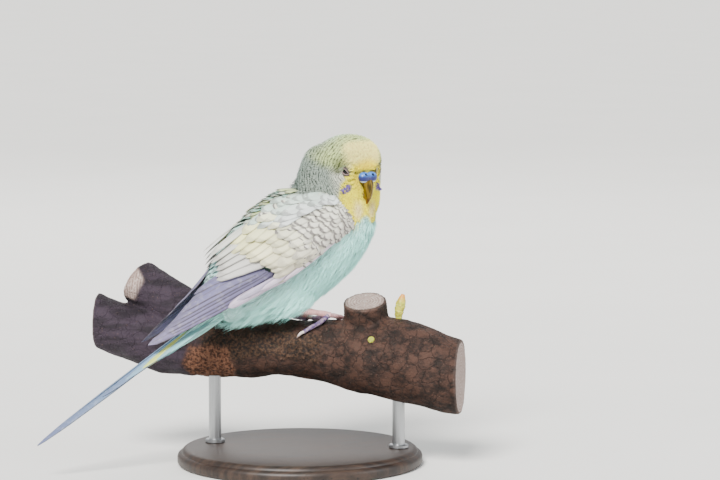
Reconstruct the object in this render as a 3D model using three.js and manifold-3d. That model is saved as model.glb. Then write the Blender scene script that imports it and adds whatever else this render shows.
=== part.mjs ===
// A life-size budgerigar on a cut length of branch, held by a plain display stand.
// Millimetres, +Z up. The bird heads along +X with its middle plane at y = 0 and turns its
// face to its right, towards -Y. The origin is the centre of the stand's underside.
import * as THREE from 'three';
import { mergeVertices } from 'three/addons/utils/BufferGeometryUtils.js';
import Module from 'manifold-3d';

const wasm = await Module();
wasm.setup();

const V = (x, y, z) => new THREE.Vector3(x, y, z);
const rad = THREE.MathUtils.degToRad;

// Driving dimensions
const GAP = 0.3;                 // clearance between two pieces that touch
const BASE_RADIUS = 51;
const BASE_HEIGHT = 7;
const ROD_RADIUS = 2.6;
const BRANCH_HEADING = -30;      // degrees from +X, seen from above
const BRANCH_AT = V(8, 0, 0);    // the branch passes over this point
const BRANCH_BACK = -94;         // cut ends, as distances along the branch from BRANCH_AT
const BRANCH_FRONT = 60;
const HEAD_CENTRE = V(21.5, -2, 123);
const HEAD_TURN = -72;           // degrees from the body's heading
const EYE_RADIUS = 3;
const EYE_PLACE = [7.2, 6.2, -0.8];
const TAIL_ROOT = V(-36, 0, 66);
const TAIL_TIP = V(-113.5, 0, 12.6);
const TAIL_ROLL = -16;           // degrees, the right edge hangs lower
const VANE_THICK = 0.6;

// Materials
const paint = (color, roughness = 0.8, metalness = 0) =>
  new THREE.MeshStandardMaterial({ color, roughness, metalness });
const looks = {
  mask: paint(0xe6da8e), neck: paint(0xc5d2bd), breast: paint(0xa9d8cc), wing: paint(0xd6d6c6),
  tail: paint(0xb4cbd0), eye: paint(0x100e10, 0.1), cere: paint(0x4f7fd0, 0.45),
  bill: paint(0x9c8518, 0.35), leg: paint(0xb79aa6, 0.6), claw: paint(0xb5a9a0, 0.5),
  bark: paint(0x7a625c, 0.9), bud: paint(0xa7b02e, 0.6), stand: paint(0x2b2c2e, 0.5),
  rod: paint(0xa7a9ab, 0.35, 1),
};

// Solids: geometry to manifold and back, keeping the largest closed surface
function solid(geometry) {
  const g = geometry.clone();
  for (const name of Object.keys(g.attributes)) if (name !== 'position') g.deleteAttribute(name);
  const merged = mergeVertices(g, 1e-4);
  return new wasm.Manifold(new wasm.Mesh({
    numProp: 3,
    vertProperties: Float32Array.from(merged.attributes.position.array),
    triVerts: Uint32Array.from(merged.index.array),
  }));
}

function largest(body) {
  return body.decompose().sort((a, b) => b.volume() - a.volume())[0];
}

function geometryOf(body) {
  const mesh = largest(body).getMesh();
  const g = new THREE.BufferGeometry();
  g.setAttribute('position', new THREE.BufferAttribute(Float32Array.from(mesh.vertProperties), 3));
  g.setIndex(new THREE.BufferAttribute(Uint32Array.from(mesh.triVerts), 1));
  return g;
}

function join(pieces) {
  return pieces.reduce((whole, piece) => whole.add(piece));
}

// A closed skin through rings of equal count, each end closed by a fan round its middle
function loft(rings) {
  const count = rings[0].length;
  const points = rings.flat();
  const faces = [];
  for (let r = 0; r < rings.length - 1; r += 1) {
    for (let i = 0; i < count; i += 1) {
      const a = r * count + i;
      const b = r * count + ((i + 1) % count);
      faces.push(a, b, b + count, a, b + count, a + count);
    }
  }
  const middle = (ring) => ring.reduce((sum, p) => sum.add(p), V(0, 0, 0)).divideScalar(count);
  const last = (rings.length - 1) * count;
  const first = points.push(middle(rings[0])) - 1;
  const end = points.push(middle(rings.at(-1))) - 1;
  for (let i = 0; i < count; i += 1) {
    const j = (i + 1) % count;
    faces.push(first, j, i, end, last + i, last + j);
  }
  const g = new THREE.BufferGeometry();
  g.setAttribute('position', new THREE.Float32BufferAttribute(points.flatMap((p) => p.toArray()), 3));
  g.setIndex(faces);
  const body = solid(g);
  return body.volume() > 0 ? body : solid(flipped(g));
}

function flipped(geometry) {
  const index = geometry.index.array;
  for (let i = 0; i < index.length; i += 3) [index[i], index[i + 1]] = [index[i + 1], index[i]];
  return geometry;
}

// Rows of numbers turned into a smooth function of t from 0 to 1
function smooth(rows) {
  const last = rows.length - 1;
  const at = (i) => rows[Math.min(last, Math.max(0, i))];
  return (t) => {
    const place = Math.min(1, Math.max(0, t)) * last;
    const i = Math.min(last - 1, Math.floor(place));
    const f = place - i;
    return at(i).map((_, k) => {
      const [a, b, c, d] = [at(i - 1)[k], at(i)[k], at(i + 1)[k], at(i + 2)[k]];
      return b + 0.5 * f * (c - a + f * (2 * a - 5 * b + 4 * c - d + f * (3 * (b - c) + d - a)));
    });
  };
}

// A body through stations [x, y, z, over, under, side]: half sizes about a curved middle line
function bodyLoft(stations, steps, sides, grow = 0) {
  const shape = smooth(stations);
  const rings = [];
  for (let k = 0; k <= steps; k += 1) {
    const t = k / steps;
    const [x, y, z, over, under, side] = shape(t);
    const ahead = V(...shape(Math.min(1, t + 0.01)).slice(0, 3));
    const behind = V(...shape(Math.max(0, t - 0.01)).slice(0, 3));
    const along = ahead.sub(behind).normalize();
    const across = V(0, 1, 0).addScaledVector(along, -along.y).normalize();
    const up = across.clone().cross(along).multiplyScalar(-1);
    const end = k === 0 ? -grow : (k === steps ? grow : 0);
    const ring = [];
    for (let i = 0; i < sides; i += 1) {
      const angle = (2 * Math.PI * i) / sides;
      const high = (Math.sin(angle) > 0 ? over : under) + grow;
      ring.push(V(x, y, z)
        .addScaledVector(along, end)
        .addScaledVector(across, (side + grow) * Math.cos(angle))
        .addScaledVector(up, high * Math.sin(angle)));
    }
    rings.push(ring);
  }
  return loft(rings);
}

function ball(centre, [rx, ry, rz], turn = null, sides = 16) {
  const g = new THREE.SphereGeometry(1, sides, Math.round(sides * 0.6));
  g.scale(rx, ry, rz);
  if (turn) g.applyMatrix4(turn);
  g.translate(centre.x, centre.y, centre.z);
  return solid(g);
}

// The half space on the side of `away` of a plane through `point`, as one large block
function halfSpace(point, away, size = 400) {
  const g = new THREE.BoxGeometry(size, size, size);
  g.translate(0, 0, size / 2);
  g.applyQuaternion(new THREE.Quaternion().setFromUnitVectors(V(0, 0, 1), away.clone().normalize()));
  g.translate(point.x, point.y, point.z);
  return solid(g);
}

// Flesh of the trunk and neck: middle line, depth over and under it, half width
const TORSO = [
  [-41, 0, 63, 3.5, 3.5, 4.5],
  [-36, 0, 66.5, 7.5, 7.5, 8],
  [-27, 0, 73, 14, 14, 12],
  [-15, 0, 81.5, 20, 21, 15.5],
  [-3, 0, 90, 22, 23.3, 17],
  [9, 0, 98, 21, 22.6, 17],
  [18, 0, 105, 18, 18.6, 15.5],
  [24, 0, 111, 12, 14, 12],
];
const NECK = [
  [10, 0, 98, 17, 14, 14],
  [14, -0.5, 107, 17, 14.5, 14],
  [17, 0, 116, 17.5, 14, 12.5],
  [19, 0.5, 123, 17.5, 13, 11.5],
  [20.5, 0, 127.5, 14, 12, 11],
  [21.5, -1, 131, 8, 8, 8],
];
const torsoForm = (grow) => bodyLoft(TORSO, 18, 24, grow);
const neckForm = (grow) => bodyLoft(NECK, 8, 22, grow);

// The head: level rings, each [height, reach forward, reach back, half width]
const HEAD = [
  [-24, 5, 5, 6],
  [-22, 9, 12, 10],
  [-17, 11, 15, 13.4],
  [-11, 9.8, 16, 14],
  [-5, 11, 16.5, 13.8],
  [1, 12.6, 16.5, 13.6],
  [6, 12.6, 15.5, 12.8],
  [9.6, 10.8, 12.5, 10.8],
  [12.5, 6.8, 8, 7.2],
  [13.8, 2, 2.5, 2.2],
];
const headTurn = rad(HEAD_TURN);
const forward = V(Math.cos(headTurn), Math.sin(headTurn), 0);
const leftward = V(-Math.sin(headTurn), Math.cos(headTurn), 0);
const headPoint = (f, l, h) => HEAD_CENTRE.clone()
  .addScaledVector(forward, f).addScaledVector(leftward, l).add(V(0, 0, h));

function headForm(grow = 0) {
  const shape = smooth(HEAD);
  const steps = 16;
  const sides = 28;
  const rings = [];
  for (let k = 0; k <= steps; k += 1) {
    const [height, front, back, side] = shape(k / steps);
    const end = k === 0 ? -grow : (k === steps ? grow : 0);
    const ring = [];
    for (let i = 0; i < sides; i += 1) {
      const angle = (2 * Math.PI * i) / sides;
      const reach = (Math.cos(angle) > 0 ? front : back) + grow;
      ring.push(headPoint(reach * Math.cos(angle), (side + grow) * Math.sin(angle), height + end));
    }
    rings.push(ring);
  }
  return loft(rings);
}

// Turns a shape made along x = forward, y = left, z = up into the head's own directions
const headFrame = new THREE.Matrix4().makeBasis(forward, leftward, V(0, 0, 1));

// Eyes with half-closed lids: a shell over the eye that opens along a slanting slit
const LID = 0.8;
const SLIT_HALF = [1.6, 2.5, 0.95];
const eyePlace = (side) => headPoint(EYE_PLACE[0], side * EYE_PLACE[1], EYE_PLACE[2]);
const eyeForm = (side, grow = 0) =>
  ball(eyePlace(side), [EYE_RADIUS + grow, EYE_RADIUS + grow, EYE_RADIUS + grow], null, 14);

function slitForm(side) {
  const outward = V(0.62, side * 0.78, 0).normalize();
  const back = V(-0.72, side * 0.6, 0.5).normalize();
  const third = outward.clone().cross(back).normalize();
  const long = third.clone().cross(outward).normalize();
  const turn = new THREE.Matrix4().makeBasis(outward, long, third).premultiply(headFrame);
  const reach = EYE_RADIUS + LID / 2;
  const centre = headPoint(
    EYE_PLACE[0] + outward.x * reach, side * EYE_PLACE[1] + outward.y * reach, EYE_PLACE[2]);
  return ball(centre, SLIT_HALF, turn, 10);
}

// Flesh in one piece, then parted by two cuts into head, neck and trunk
function fleshForm(grow = 0) {
  return join([torsoForm(grow), neckForm(grow), headForm(grow)]);
}
const HEAD_CUT = { point: V(22, -12, 101), away: V(0.403, -0.41, 1).normalize() };
const NECK_CUT = { point: V(34, 0, 92.5), away: V(0.41, 0, 1).normalize() };
const above = (cut) => halfSpace(cut.point.clone().addScaledVector(cut.away, GAP / 2), cut.away);
const below = (cut) => halfSpace(
  cut.point.clone().addScaledVector(cut.away, -GAP / 2), cut.away.clone().negate());

// Bill: [forward, height, half width, half depth] along its curve, hooked down and back
const UPPER_BILL = [
  [9, -3.5, 3.5, 2.6],
  [11.2, -5.6, 3.5, 2.6],
  [12.3, -8.2, 3, 2.2],
  [12.1, -11, 2, 1.6],
  [11.1, -14.3, 0.45, 0.5],
];
const LOWER_BILL = [
  [8.5, -9, 2.8, 2],
  [9.8, -10.6, 2.5, 2],
  [10.6, -12, 1.8, 1.4],
  [10.8, -13, 0.9, 0.6],
];

function billLoft(stations, steps, sides, grow = 0) {
  const shape = smooth(stations);
  const rings = [];
  for (let k = 0; k <= steps; k += 1) {
    const t = k / steps;
    const [f, h, wide, deep] = shape(t);
    const ahead = shape(Math.min(1, t + 0.01));
    const behind = shape(Math.max(0, t - 0.01));
    const along = new THREE.Vector2(ahead[0] - behind[0], ahead[1] - behind[1]).normalize();
    const ring = [];
    for (let i = 0; i < sides; i += 1) {
      const angle = (2 * Math.PI * i) / sides;
      const side = (wide + grow) * Math.sin(angle);
      const out = (deep + grow) * Math.cos(angle);
      ring.push(headPoint(f - along.y * out, side, h + along.x * out));
    }
    rings.push(ring);
  }
  return loft(rings);
}

// Cere: two swollen lobes over the bill, each with a nostril
const CERE_LOBE = { place: [12, 2.05, -3.1], size: [2.4, 2.4, 2.35] };
const NOSTRIL = { place: [13.7, 1.8, -1.7], radius: 0.5 };

function cereForm(grow = 0) {
  const { place: [f, l, h], size } = CERE_LOBE;
  const lobes = [-1, 1].map((side) =>
    ball(headPoint(f, side * l, h), size.map((s) => s + grow), headFrame, 12));
  const bridge = ball(headPoint(f, 0, h), [2 + grow, 1.6 + grow, 2 + grow], headFrame, 12);
  return join([...lobes, bridge]);
}

// The branch: distance along, height of the middle, radius
const BRANCH = [
  [BRANCH_BACK, 57.5, 11.4],
  [-71, 49.8, 12.4],
  [-42, 47.2, 12.6],
  [-16, 48.2, 12],
  [7, 46.2, 13.2],
  [22, 45, 16.2],
  [34, 44.2, 17.4],
  [44, 41.4, 16.6],
  [BRANCH_FRONT, 37.2, 15.6],
];
const branchTurn = rad(BRANCH_HEADING);
const branchAlong = V(Math.cos(branchTurn), Math.sin(branchTurn), 0);
const branchAcross = V(-branchAlong.y, branchAlong.x, 0);
const branchShape = smooth(BRANCH);

function branchAt(s) {
  let low = 0;
  let high = 1;
  for (let i = 0; i < 30; i += 1) {
    const mid = (low + high) / 2;
    if (branchShape(mid)[0] < s) low = mid; else high = mid;
  }
  const [, height, radius] = branchShape(low);
  return { centre: BRANCH_AT.clone().addScaledVector(branchAlong, s).setZ(height), radius };
}

// A point on the bark: angle 0 is the top, positive angles turn to the far side
function barkPoint(s, angle, lift = 0) {
  const { centre, radius } = branchAt(s);
  const uneven = 0.35 * Math.sin(0.31 * s + 3 * angle) + 0.3 * Math.sin(0.17 * s - 2 * angle);
  const reach = radius + uneven + lift;
  return centre.addScaledVector(branchAcross, reach * Math.sin(angle))
    .add(V(0, 0, reach * Math.cos(angle)));
}

function branchForm(grow = 0) {
  const steps = 30;
  const sides = 16;
  const rings = [];
  for (let k = 0; k <= steps; k += 1) {
    const s = BRANCH_BACK + ((BRANCH_FRONT - BRANCH_BACK) * k) / steps;
    rings.push(Array.from({ length: sides },
      (_, i) => barkPoint(s, (2 * Math.PI * i) / sides, grow)));
  }
  return loft(rings);
}

// A tapered round length from point to point: [x, y, z, radius] rows
function tapered(rows, steps, sides) {
  const shape = smooth(rows);
  const rings = [];
  for (let k = 0; k <= steps; k += 1) {
    const t = k / steps;
    const [x, y, z, radius] = shape(t);
    const ahead = V(...shape(Math.min(1, t + 0.01)).slice(0, 3));
    const along = ahead.sub(V(...shape(Math.max(0, t - 0.01)).slice(0, 3))).normalize();
    const ref = Math.abs(along.z) > 0.9 ? V(1, 0, 0) : V(0, 0, 1);
    const across = ref.cross(along).normalize();
    const up = along.clone().cross(across);
    rings.push(Array.from({ length: sides }, (_, i) => {
      const angle = (2 * Math.PI * i) / sides;
      return V(x, y, z).addScaledVector(across, radius * Math.cos(angle))
        .addScaledVector(up, radius * Math.sin(angle));
    }));
  }
  return loft(rings);
}

// Sawn stubs of two side branches and the collar where each swells from the branch
const FRONT_STUB = [
  [26.5, -6, 44, 12.5],
  [26, -8.2, 54, 10.8],
  [25.6, -10.2, 61, 9.3],
  [24.2, -12.2, 68.3, 8.9],
];
const BACK_STUB = [
  [-31, 21, 50, 11],
  [-40, 28, 60, 10.6],
  [-48.5, 37, 67, 9.9],
  [-56, 46.5, 73.5, 9.4],
];
const stubForm = (rows, grow = 0) =>
  tapered(rows.map(([x, y, z, radius]) => [x, y, z, radius + grow]), 7, 14);
const BUD = [
  [37.4, -17, 60, 1.1],
  [37.5, -17.1, 63.5, 1.9],
  [38.3, -17.3, 67.5, 2.2],
  [39.2, -17.5, 71.2, 0.8],
];
const perchForm = (grow = 0) =>
  join([branchForm(grow), stubForm(FRONT_STUB, grow), stubForm(BACK_STUB, grow)]);

// A feather sheet for the folded wing: lower edge, middle and upper edge, shoulder to tip
const WING_LOWER = [[17, 14, 99], [-3, 17.5, 86.5], [-22, 16, 75], [-43, 10, 63], [-65, 5.5, 53]];
const WING_MIDDLE = [[13, 17.8, 106], [-8, 20.6, 97], [-26, 17, 85], [-44.5, 9.5, 69.5], [-65, 4.5, 54.5]];
const WING_UPPER = [[6, 10.5, 113], [-13, 6.5, 108.5], [-29, 4.6, 95.5], [-43, 3.6, 76], [-63.5, 2.8, 56.5]];
const wingLower = smooth(WING_LOWER);
const wingMiddle = smooth(WING_MIDDLE);
const wingUpper = smooth(WING_UPPER);

function wingPoint(side, a, b, lift = 0) {
  const at = (u, v) => {
    const [p, q, r] = [wingLower(u), wingMiddle(u), wingUpper(u)].map((row) => V(...row));
    const point = p.multiplyScalar(2 * (v - 0.5) * (v - 1))
      .addScaledVector(q, -4 * v * (v - 1)).addScaledVector(r, 2 * v * (v - 0.5));
    return point;
  };
  const point = at(a, b);
  const da = at(Math.min(1, a + 0.02), b).sub(at(Math.max(0, a - 0.02), b));
  const db = at(a, b + 0.02).sub(at(a, b - 0.02));
  const normal = db.cross(da).normalize();
  if (normal.y < 0) normal.negate();
  point.addScaledVector(normal, lift);
  return V(point.x, side * point.y, point.z);
}

// One feather as a thin tapered vane. way(t) gives { centre, normal } from root to tip.
const VANE_STEPS = [[0, 0.6], [0.45, 1], [0.84, 0.8], [1, 0.16]];
function vane(way, half, roll = 0) {
  const points = [];
  for (const [t, share] of VANE_STEPS) {
    const { centre, normal } = way(t);
    const along = way(Math.min(1, t + 0.05)).centre.sub(way(Math.max(0, t - 0.05)).centre);
    along.normalize();
    normal.addScaledVector(along, -normal.dot(along)).normalize().applyAxisAngle(along, roll);
    const across = normal.clone().cross(along).multiplyScalar(half * share);
    const up = normal.multiplyScalar(VANE_THICK / 2);
    for (const [sign, high] of [[-1, 1], [1, 1], [1, -1], [-1, -1]]) {
      points.push(centre.clone().addScaledVector(across, sign).addScaledVector(up, high));
    }
  }
  // both broad faces are split along the same diagonals, so that a bent vane never crosses itself
  const faces = [];
  const rows = VANE_STEPS.length;
  for (let r = 0; r < rows - 1; r += 1) {
    const [a, b, c, d] = [0, 1, 2, 3].map((i) => 4 * r + i);
    faces.push(a, b, b + 4, a, b + 4, a + 4, d, c + 4, c, d, d + 4, c + 4);
    faces.push(b, c, c + 4, b, c + 4, b + 4, d, a, a + 4, d, a + 4, d + 4);
  }
  const e = 4 * (rows - 1);
  faces.push(0, 2, 1, 0, 3, 2, e, e + 1, e + 2, e, e + 2, e + 3);
  const g = new THREE.BufferGeometry();
  g.setAttribute('position', new THREE.Float32BufferAttribute(points.flatMap((p) => p.toArray()), 3));
  g.setIndex(faces);
  const body = solid(g);
  return body.volume() > 0 ? body : solid(flipped(g));
}

// Rows of wing feathers, each laid from its first to its last feather. root and tip are places
// on the sheet, [from shoulder to tip, from lower edge to upper edge]; push moves the last tip.
const WING_ROWS = [
  { count: 6, root: [[0.42, 0.12], [0.42, 0.66]], tip: [[1, 0.25], [0.86, 0.9]], half: [2.6, 3.2],
    lift: [[-1.3, -0.9], [-0.3, 0.3]], push: [0, 0, 0] },
  { count: 4, root: [[0.3, 0.4], [0.3, 0.9]], tip: [[0.66, 0.4], [0.66, 0.94]], half: [4, 3.6],
    lift: [[-0.6, -0.6], [1.1, 1.5]], push: [-2, 0.8, 2.6] },
  { count: 6, root: [[0.33, 0.12], [0.3, 0.88]], tip: [[0.52, 0.1], [0.55, 0.86]], half: [3.6, 3.6],
    lift: [[-0.6, -0.6], [1.6, 2.2]], push: [0, 0, 0] },
  { count: 5, root: [[0.18, 0.14], [0.16, 0.86]], tip: [[0.38, 0.12], [0.4, 0.88]], half: [4, 4],
    lift: [[-0.6, -0.6], [2.2, 2.6]], push: [0, 0, 0] },
  { count: 4, root: [[0.04, 0.18], [0.03, 0.82]], tip: [[0.2, 0.14], [0.24, 0.86]], half: [4.4, 4.4],
    lift: [[-0.6, -0.6], [2.4, 2.7]], push: [0, 0, 0] },
];
const VANE_ROLL = rad(9);        // each vane tips over the next, like a shingle
const mix = (a, b, t) => a + (b - a) * t;

function wingVanes(side) {
  const vanes = [];
  for (const { count, root, tip, half, lift, push } of WING_ROWS) {
    for (let i = 0; i < count; i += 1) {
      const k = i / (count - 1);
      const from = [0, 1].map((n) => mix(root[0][n], root[1][n], k));
      const to = [0, 1].map((n) => mix(tip[0][n], tip[1][n], k));
      const [low, high] = [0, 1].map((n) => mix(lift[n][0], lift[n][1], k));
      const outward = V(push[0], side * push[1], push[2]).multiplyScalar(k);
      vanes.push(vane((t) => {
        const [a, b] = [mix(from[0], to[0], t), mix(from[1], to[1], t)];
        const centre = wingPoint(side, a, b, mix(low, high, t)).addScaledVector(outward, t * t);
        return { centre, normal: wingPoint(side, a, b, 1).sub(wingPoint(side, a, b, 0)) };
      }, mix(half[0], half[1], k), side * VANE_ROLL));
    }
  }
  return vanes;
}

// The arm that the feathers root in: a thick plate over the shoulder and forearm
const ARM_END = 0.62;
function armForm(side) {
  const rings = [];
  const steps = 7;
  const sides = 5;
  for (let k = 0; k <= steps; k += 1) {
    const a = (ARM_END * k) / steps;
    const full = Math.sin(Math.PI * Math.min(1, 0.2 + 0.5 * (a / ARM_END))) ** 0.5;
    const inner = -3.2 * Math.min(1, (ARM_END - a) / 0.15) - 0.5;
    const row = (lift) => Array.from({ length: sides + 1 }, (_, i) => {
      const b = 0.04 + (0.92 * i) / sides;
      return wingPoint(side, a, b, lift(Math.sin((Math.PI * i) / sides) ** 0.5));
    });
    rings.push([...row((edge) => 0.2 + 1.3 * edge * full), ...row(() => inner).reverse()]);
  }
  return loft(rings);
}

// Tail frame: along the tail from its root, across it and over it
const tailAlong = TAIL_TIP.clone().sub(TAIL_ROOT).normalize();
const tailLength = TAIL_TIP.distanceTo(TAIL_ROOT);
const tailAcross = V(0, 1, 0).applyAxisAngle(tailAlong, rad(-TAIL_ROLL));
const tailOver = tailAlong.clone().cross(tailAcross).normalize();
if (tailOver.z < 0) tailOver.negate();
const tailPoint = (along, across, over) => TAIL_ROOT.clone()
  .addScaledVector(tailAlong, along).addScaledVector(tailAcross, across).addScaledVector(tailOver, over);

// Tail feathers in pairs from the long middle one out: [length, spread at the tip, height, half width]
const ROOF = rad(32);             // each half of the tail slopes down from the middle
const RECTRICES = [
  [tailLength, 1.3, 0.4, 3],
  [59, 3, 0, 3],
  [41, 4.4, -0.4, 3],
  [34, 5.6, -1.3, 2.9],
  [28, 6.6, -2.2, 2.8],
];
const UPPER_COVERTS = [[24, 0, 3, 4], [17, -3.6, 3, 3.4], [17, 3.6, 3, 3.4]];
const UNDER_COVERTS = [[27, 0, -4.6, 4.4], [20, -3.6, -4.2, 4], [20, 3.6, -4.2, 4]];
const TAIL_STEM = [[-2, 7.4, 4.6, 4.6], [5, 7.2, 4, 4.4], [11, 6, 2.8, 3.4], [17, 3.4, 1.5, 1.8]];

function tailFeather([length, spread, height, half], side, slope) {
  return vane((t) => ({
    centre: tailPoint(
      mix(2, length, t), side * mix(spread * 0.5, spread, t), mix(height * 0.6, height, t)),
    normal: tailOver.clone(),
  }), half, side * slope);
}

function tailForm() {
  const shape = smooth(TAIL_STEM);
  const rings = [];
  for (let k = 0; k <= 6; k += 1) {
    const [along, wide, over, under] = shape(k / 6);
    rings.push(Array.from({ length: 12 }, (_, i) => {
      const angle = (2 * Math.PI * i) / 12;
      const high = Math.sin(angle) > 0 ? over : under;
      return tailPoint(along, wide * Math.cos(angle), high * Math.sin(angle));
    }));
  }
  const feathers = RECTRICES.flatMap((row) => [tailFeather(row, -1, ROOF), tailFeather(row, 1, ROOF)]);
  const coverts = [...UPPER_COVERTS, ...UNDER_COVERTS].map((row) => tailFeather(row, 1, 0));
  return join([loft(rings), ...feathers, ...coverts]);
}

// Legs: a feathered thigh, a bare shank and four toes, two forward and two back
const ANKLE = { right: [10.9, -5.7], left: [7, 8.8] };
const TOE_RADIUS = 1.05;
const ANKLE_LIFT = 1.6;
// Each toe's way over the bark from the ankle: [along the branch, turn round it, lift].
// A positive turn runs down the bird's own side, a negative one over the top.
const TOES = {
  right: [
    [[0, 0, ANKLE_LIFT], [2.4, -0.2, 0.4], [4, -0.42, 0.1], [5, -0.7, 0]],
    [[0, 0, ANKLE_LIFT], [1.4, -0.35, 0.4], [2.4, -0.7, 0.1], [3, -1, 0]],
    [[0, 0, ANKLE_LIFT], [-3.2, 0.2, 0.3], [-6.4, 0.43, 0.1], [-9.3, 0.65, 0]],
    [[0, 0, ANKLE_LIFT], [-3, -0.1, 0.4], [-5.5, -0.2, 0.1], [-7.5, -0.28, 0]],
  ],
  left: [
    [[0, 0, ANKLE_LIFT], [3.5, 0.12, 0.4], [6.5, 0.26, 0.1], [9, 0.4, 0]],
    [[0, 0, ANKLE_LIFT], [3, 0, 0.4], [5.2, 0.02, 0.1], [7, 0.04, 0]],
    [[0, 0, ANKLE_LIFT], [-3, 0.25, 0.3], [-6.5, 0.45, 0.1], [-10, 0.58, 0]],
    [[0, 0, ANKLE_LIFT], [-3, -0.1, 0.4], [-5.5, -0.2, 0.1], [-7.5, -0.28, 0]],
  ],
};
const THIGH = [9, 5.8, 6.6];

function legParts(side) {
  const name = side < 0 ? 'right' : 'left';
  const [ax, ay] = ANKLE[name];
  const offset = V(ax, ay, 0).sub(BRANCH_AT);
  const s = offset.dot(branchAlong);
  const angle = Math.asin(offset.dot(branchAcross) / 13.5);
  const ankle = barkPoint(s, angle, TOE_RADIUS + GAP + ANKLE_LIFT);
  const near = side;
  const shank = tapered([
    [-5, side * 8, ankle.z + 4, 1.7],
    [1, side * 8.2, ankle.z + 2.4, 1.35],
    [ankle.x - 2, ankle.y, ankle.z + 0.7, 1.3],
    [ankle.x + 0.5, ankle.y, ankle.z, 1.35],
  ], 5, 8);
  const knee = V(-4.5, side * 6.8, ankle.z + 7.8);
  const thigh = (grow) => ball(knee, THIGH.map((r) => r + grow), null, 16);
  const onBark = (ds, turn, lift = 0) => barkPoint(s + ds, angle + near * turn, TOE_RADIUS + GAP + lift);
  const pieces = [];
  const claws = [];
  TOES[name].forEach((route) => {
    const rows = route.map(([ds, turn, lift], i) =>
      [...onBark(ds, turn, lift).toArray(), TOE_RADIUS * (1 - 0.07 * i)]);
    pieces.push(tapered(rows, 5, 8));
    const [ds, turn] = route.at(-1);
    const [ds0, turn0] = route.at(-2);
    const step = [ds - ds0, turn - turn0];
    const size = Math.hypot(step[0], step[1] * 14);
    const claw = (mm, lift, r) => [
      ...onBark(ds + (step[0] * mm) / size, turn + (step[1] * mm) / size, lift).toArray(), r];
    claws.push(tapered([claw(GAP + 0.05, 0.1, 0.75), claw(1.6, 0.45, 0.62),
      claw(2.9, 0.1, 0.42), claw(3.9, -0.75, 0.14)], 4, 6));
  });
  return { name, foot: join([shank, ...pieces]), claws, thigh };
}

// Putting the bird together
const flesh = fleshForm();
const fleshAround = fleshForm(GAP + 0.05);
const group = new THREE.Group();
function add(name, body, material) {
  const mesh = new THREE.Mesh(geometryOf(body), material);
  mesh.name = name;
  group.add(mesh);
}

const lids = (grow) => join([-1, 1].map((side) => eyeForm(side, LID + GAP + grow)));
const sockets = join([-1, 1].map((side) => eyeForm(side, GAP).add(slitForm(side))));
const bill = billLoft(UPPER_BILL, 9, 12);
const billAround = billLoft(UPPER_BILL, 9, 12, GAP);
const lowerBill = billLoft(LOWER_BILL, 5, 10);
const headWhole = flesh.intersect(above(HEAD_CUT)).add(lids(0)).subtract(sockets);
const headAround = fleshAround.add(lids(GAP));
add('head', headWhole, looks.mask);
add('neck', flesh.intersect(below(HEAD_CUT)).intersect(above(NECK_CUT)), looks.neck);
for (const side of [-1, 1]) add(`eye_${side < 0 ? 'right' : 'left'}`, eyeForm(side), looks.eye);
const nostrils = join([-1, 1].map((side) => {
  const [f, l, h] = NOSTRIL.place;
  return ball(headPoint(f, side * l, h), [1.4, NOSTRIL.radius, NOSTRIL.radius], headFrame, 10);
}));
add('cere', cereForm().subtract(headAround).subtract(nostrils), looks.cere);
add('bill_upper', bill.subtract(headAround).subtract(cereForm(GAP)), looks.bill);
add('bill_lower', lowerBill.subtract(headAround).subtract(billAround), looks.bill);

const perchAround = perchForm(GAP);
const legs = [-1, 1].map(legParts);
const rumpCut = { point: TAIL_ROOT, away: tailAlong };
const torso = flesh.intersect(below(NECK_CUT)).intersect(below(HEAD_CUT)).intersect(below(rumpCut));
add('torso', torso, looks.breast);
for (const leg of legs) {
  add(`thigh_${leg.name}`, leg.thigh(0).subtract(fleshAround), looks.breast);
  const foot = leg.foot.subtract(leg.thigh(GAP)).subtract(fleshAround).subtract(perchAround);
  add(`foot_${leg.name}`, foot, looks.leg);
  leg.claws.forEach((claw, i) => {
    add(`claw_${leg.name}_${i + 1}`, claw.subtract(perchAround), looks.claw);
  });
}
for (const side of [-1, 1]) {
  const wing = join([armForm(side), ...wingVanes(side)]).subtract(fleshAround);
  add(`wing_${side < 0 ? 'right' : 'left'}`, wing, looks.wing);
}
add('tail', tailForm().subtract(fleshAround).intersect(above(rumpCut)), looks.tail);

// Perch and stand
add('perch_branch', perchForm(), looks.bark);
add('perch_bud', tapered(BUD, 6, 8).subtract(perchAround), looks.bud);
const base = new THREE.LatheGeometry([
  [0, 0], [BASE_RADIUS - 1, 0], [BASE_RADIUS, 1], [BASE_RADIUS, BASE_HEIGHT - 2.5],
  [BASE_RADIUS - 2.5, BASE_HEIGHT], [0, BASE_HEIGHT],
].map(([r, z]) => new THREE.Vector2(r, z)), 48);
base.rotateX(Math.PI / 2);
const standBase = new THREE.Mesh(base, looks.stand);
standBase.name = 'stand_base';
group.add(standBase);
[-44, 34].forEach((s, i) => {
  const { centre, radius } = branchAt(s);
  const from = BASE_HEIGHT + GAP;
  const to = centre.z - radius + 2;
  const rod = new THREE.CylinderGeometry(ROD_RADIUS, ROD_RADIUS, to - from, 16);
  rod.rotateX(Math.PI / 2);
  rod.translate(centre.x, centre.y, (from + to) / 2);
  add(`stand_rod_${i + 1}`, solid(rod).subtract(perchAround), looks.rod);
});

export default group;
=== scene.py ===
# A life-size budgerigar gripping a cut length of branch, held by a plain display stand.
# Metres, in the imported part's frame: the bird heads along +X and turns its face towards -Y.
# Sizes of the bird and branch are named in millimetres and multiplied by MM where a mesh is made.
import math

import bmesh
import bpy
import numpy as np
from mathutils import Matrix, Vector, noise
from mathutils.bvhtree import BVHTree


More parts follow.
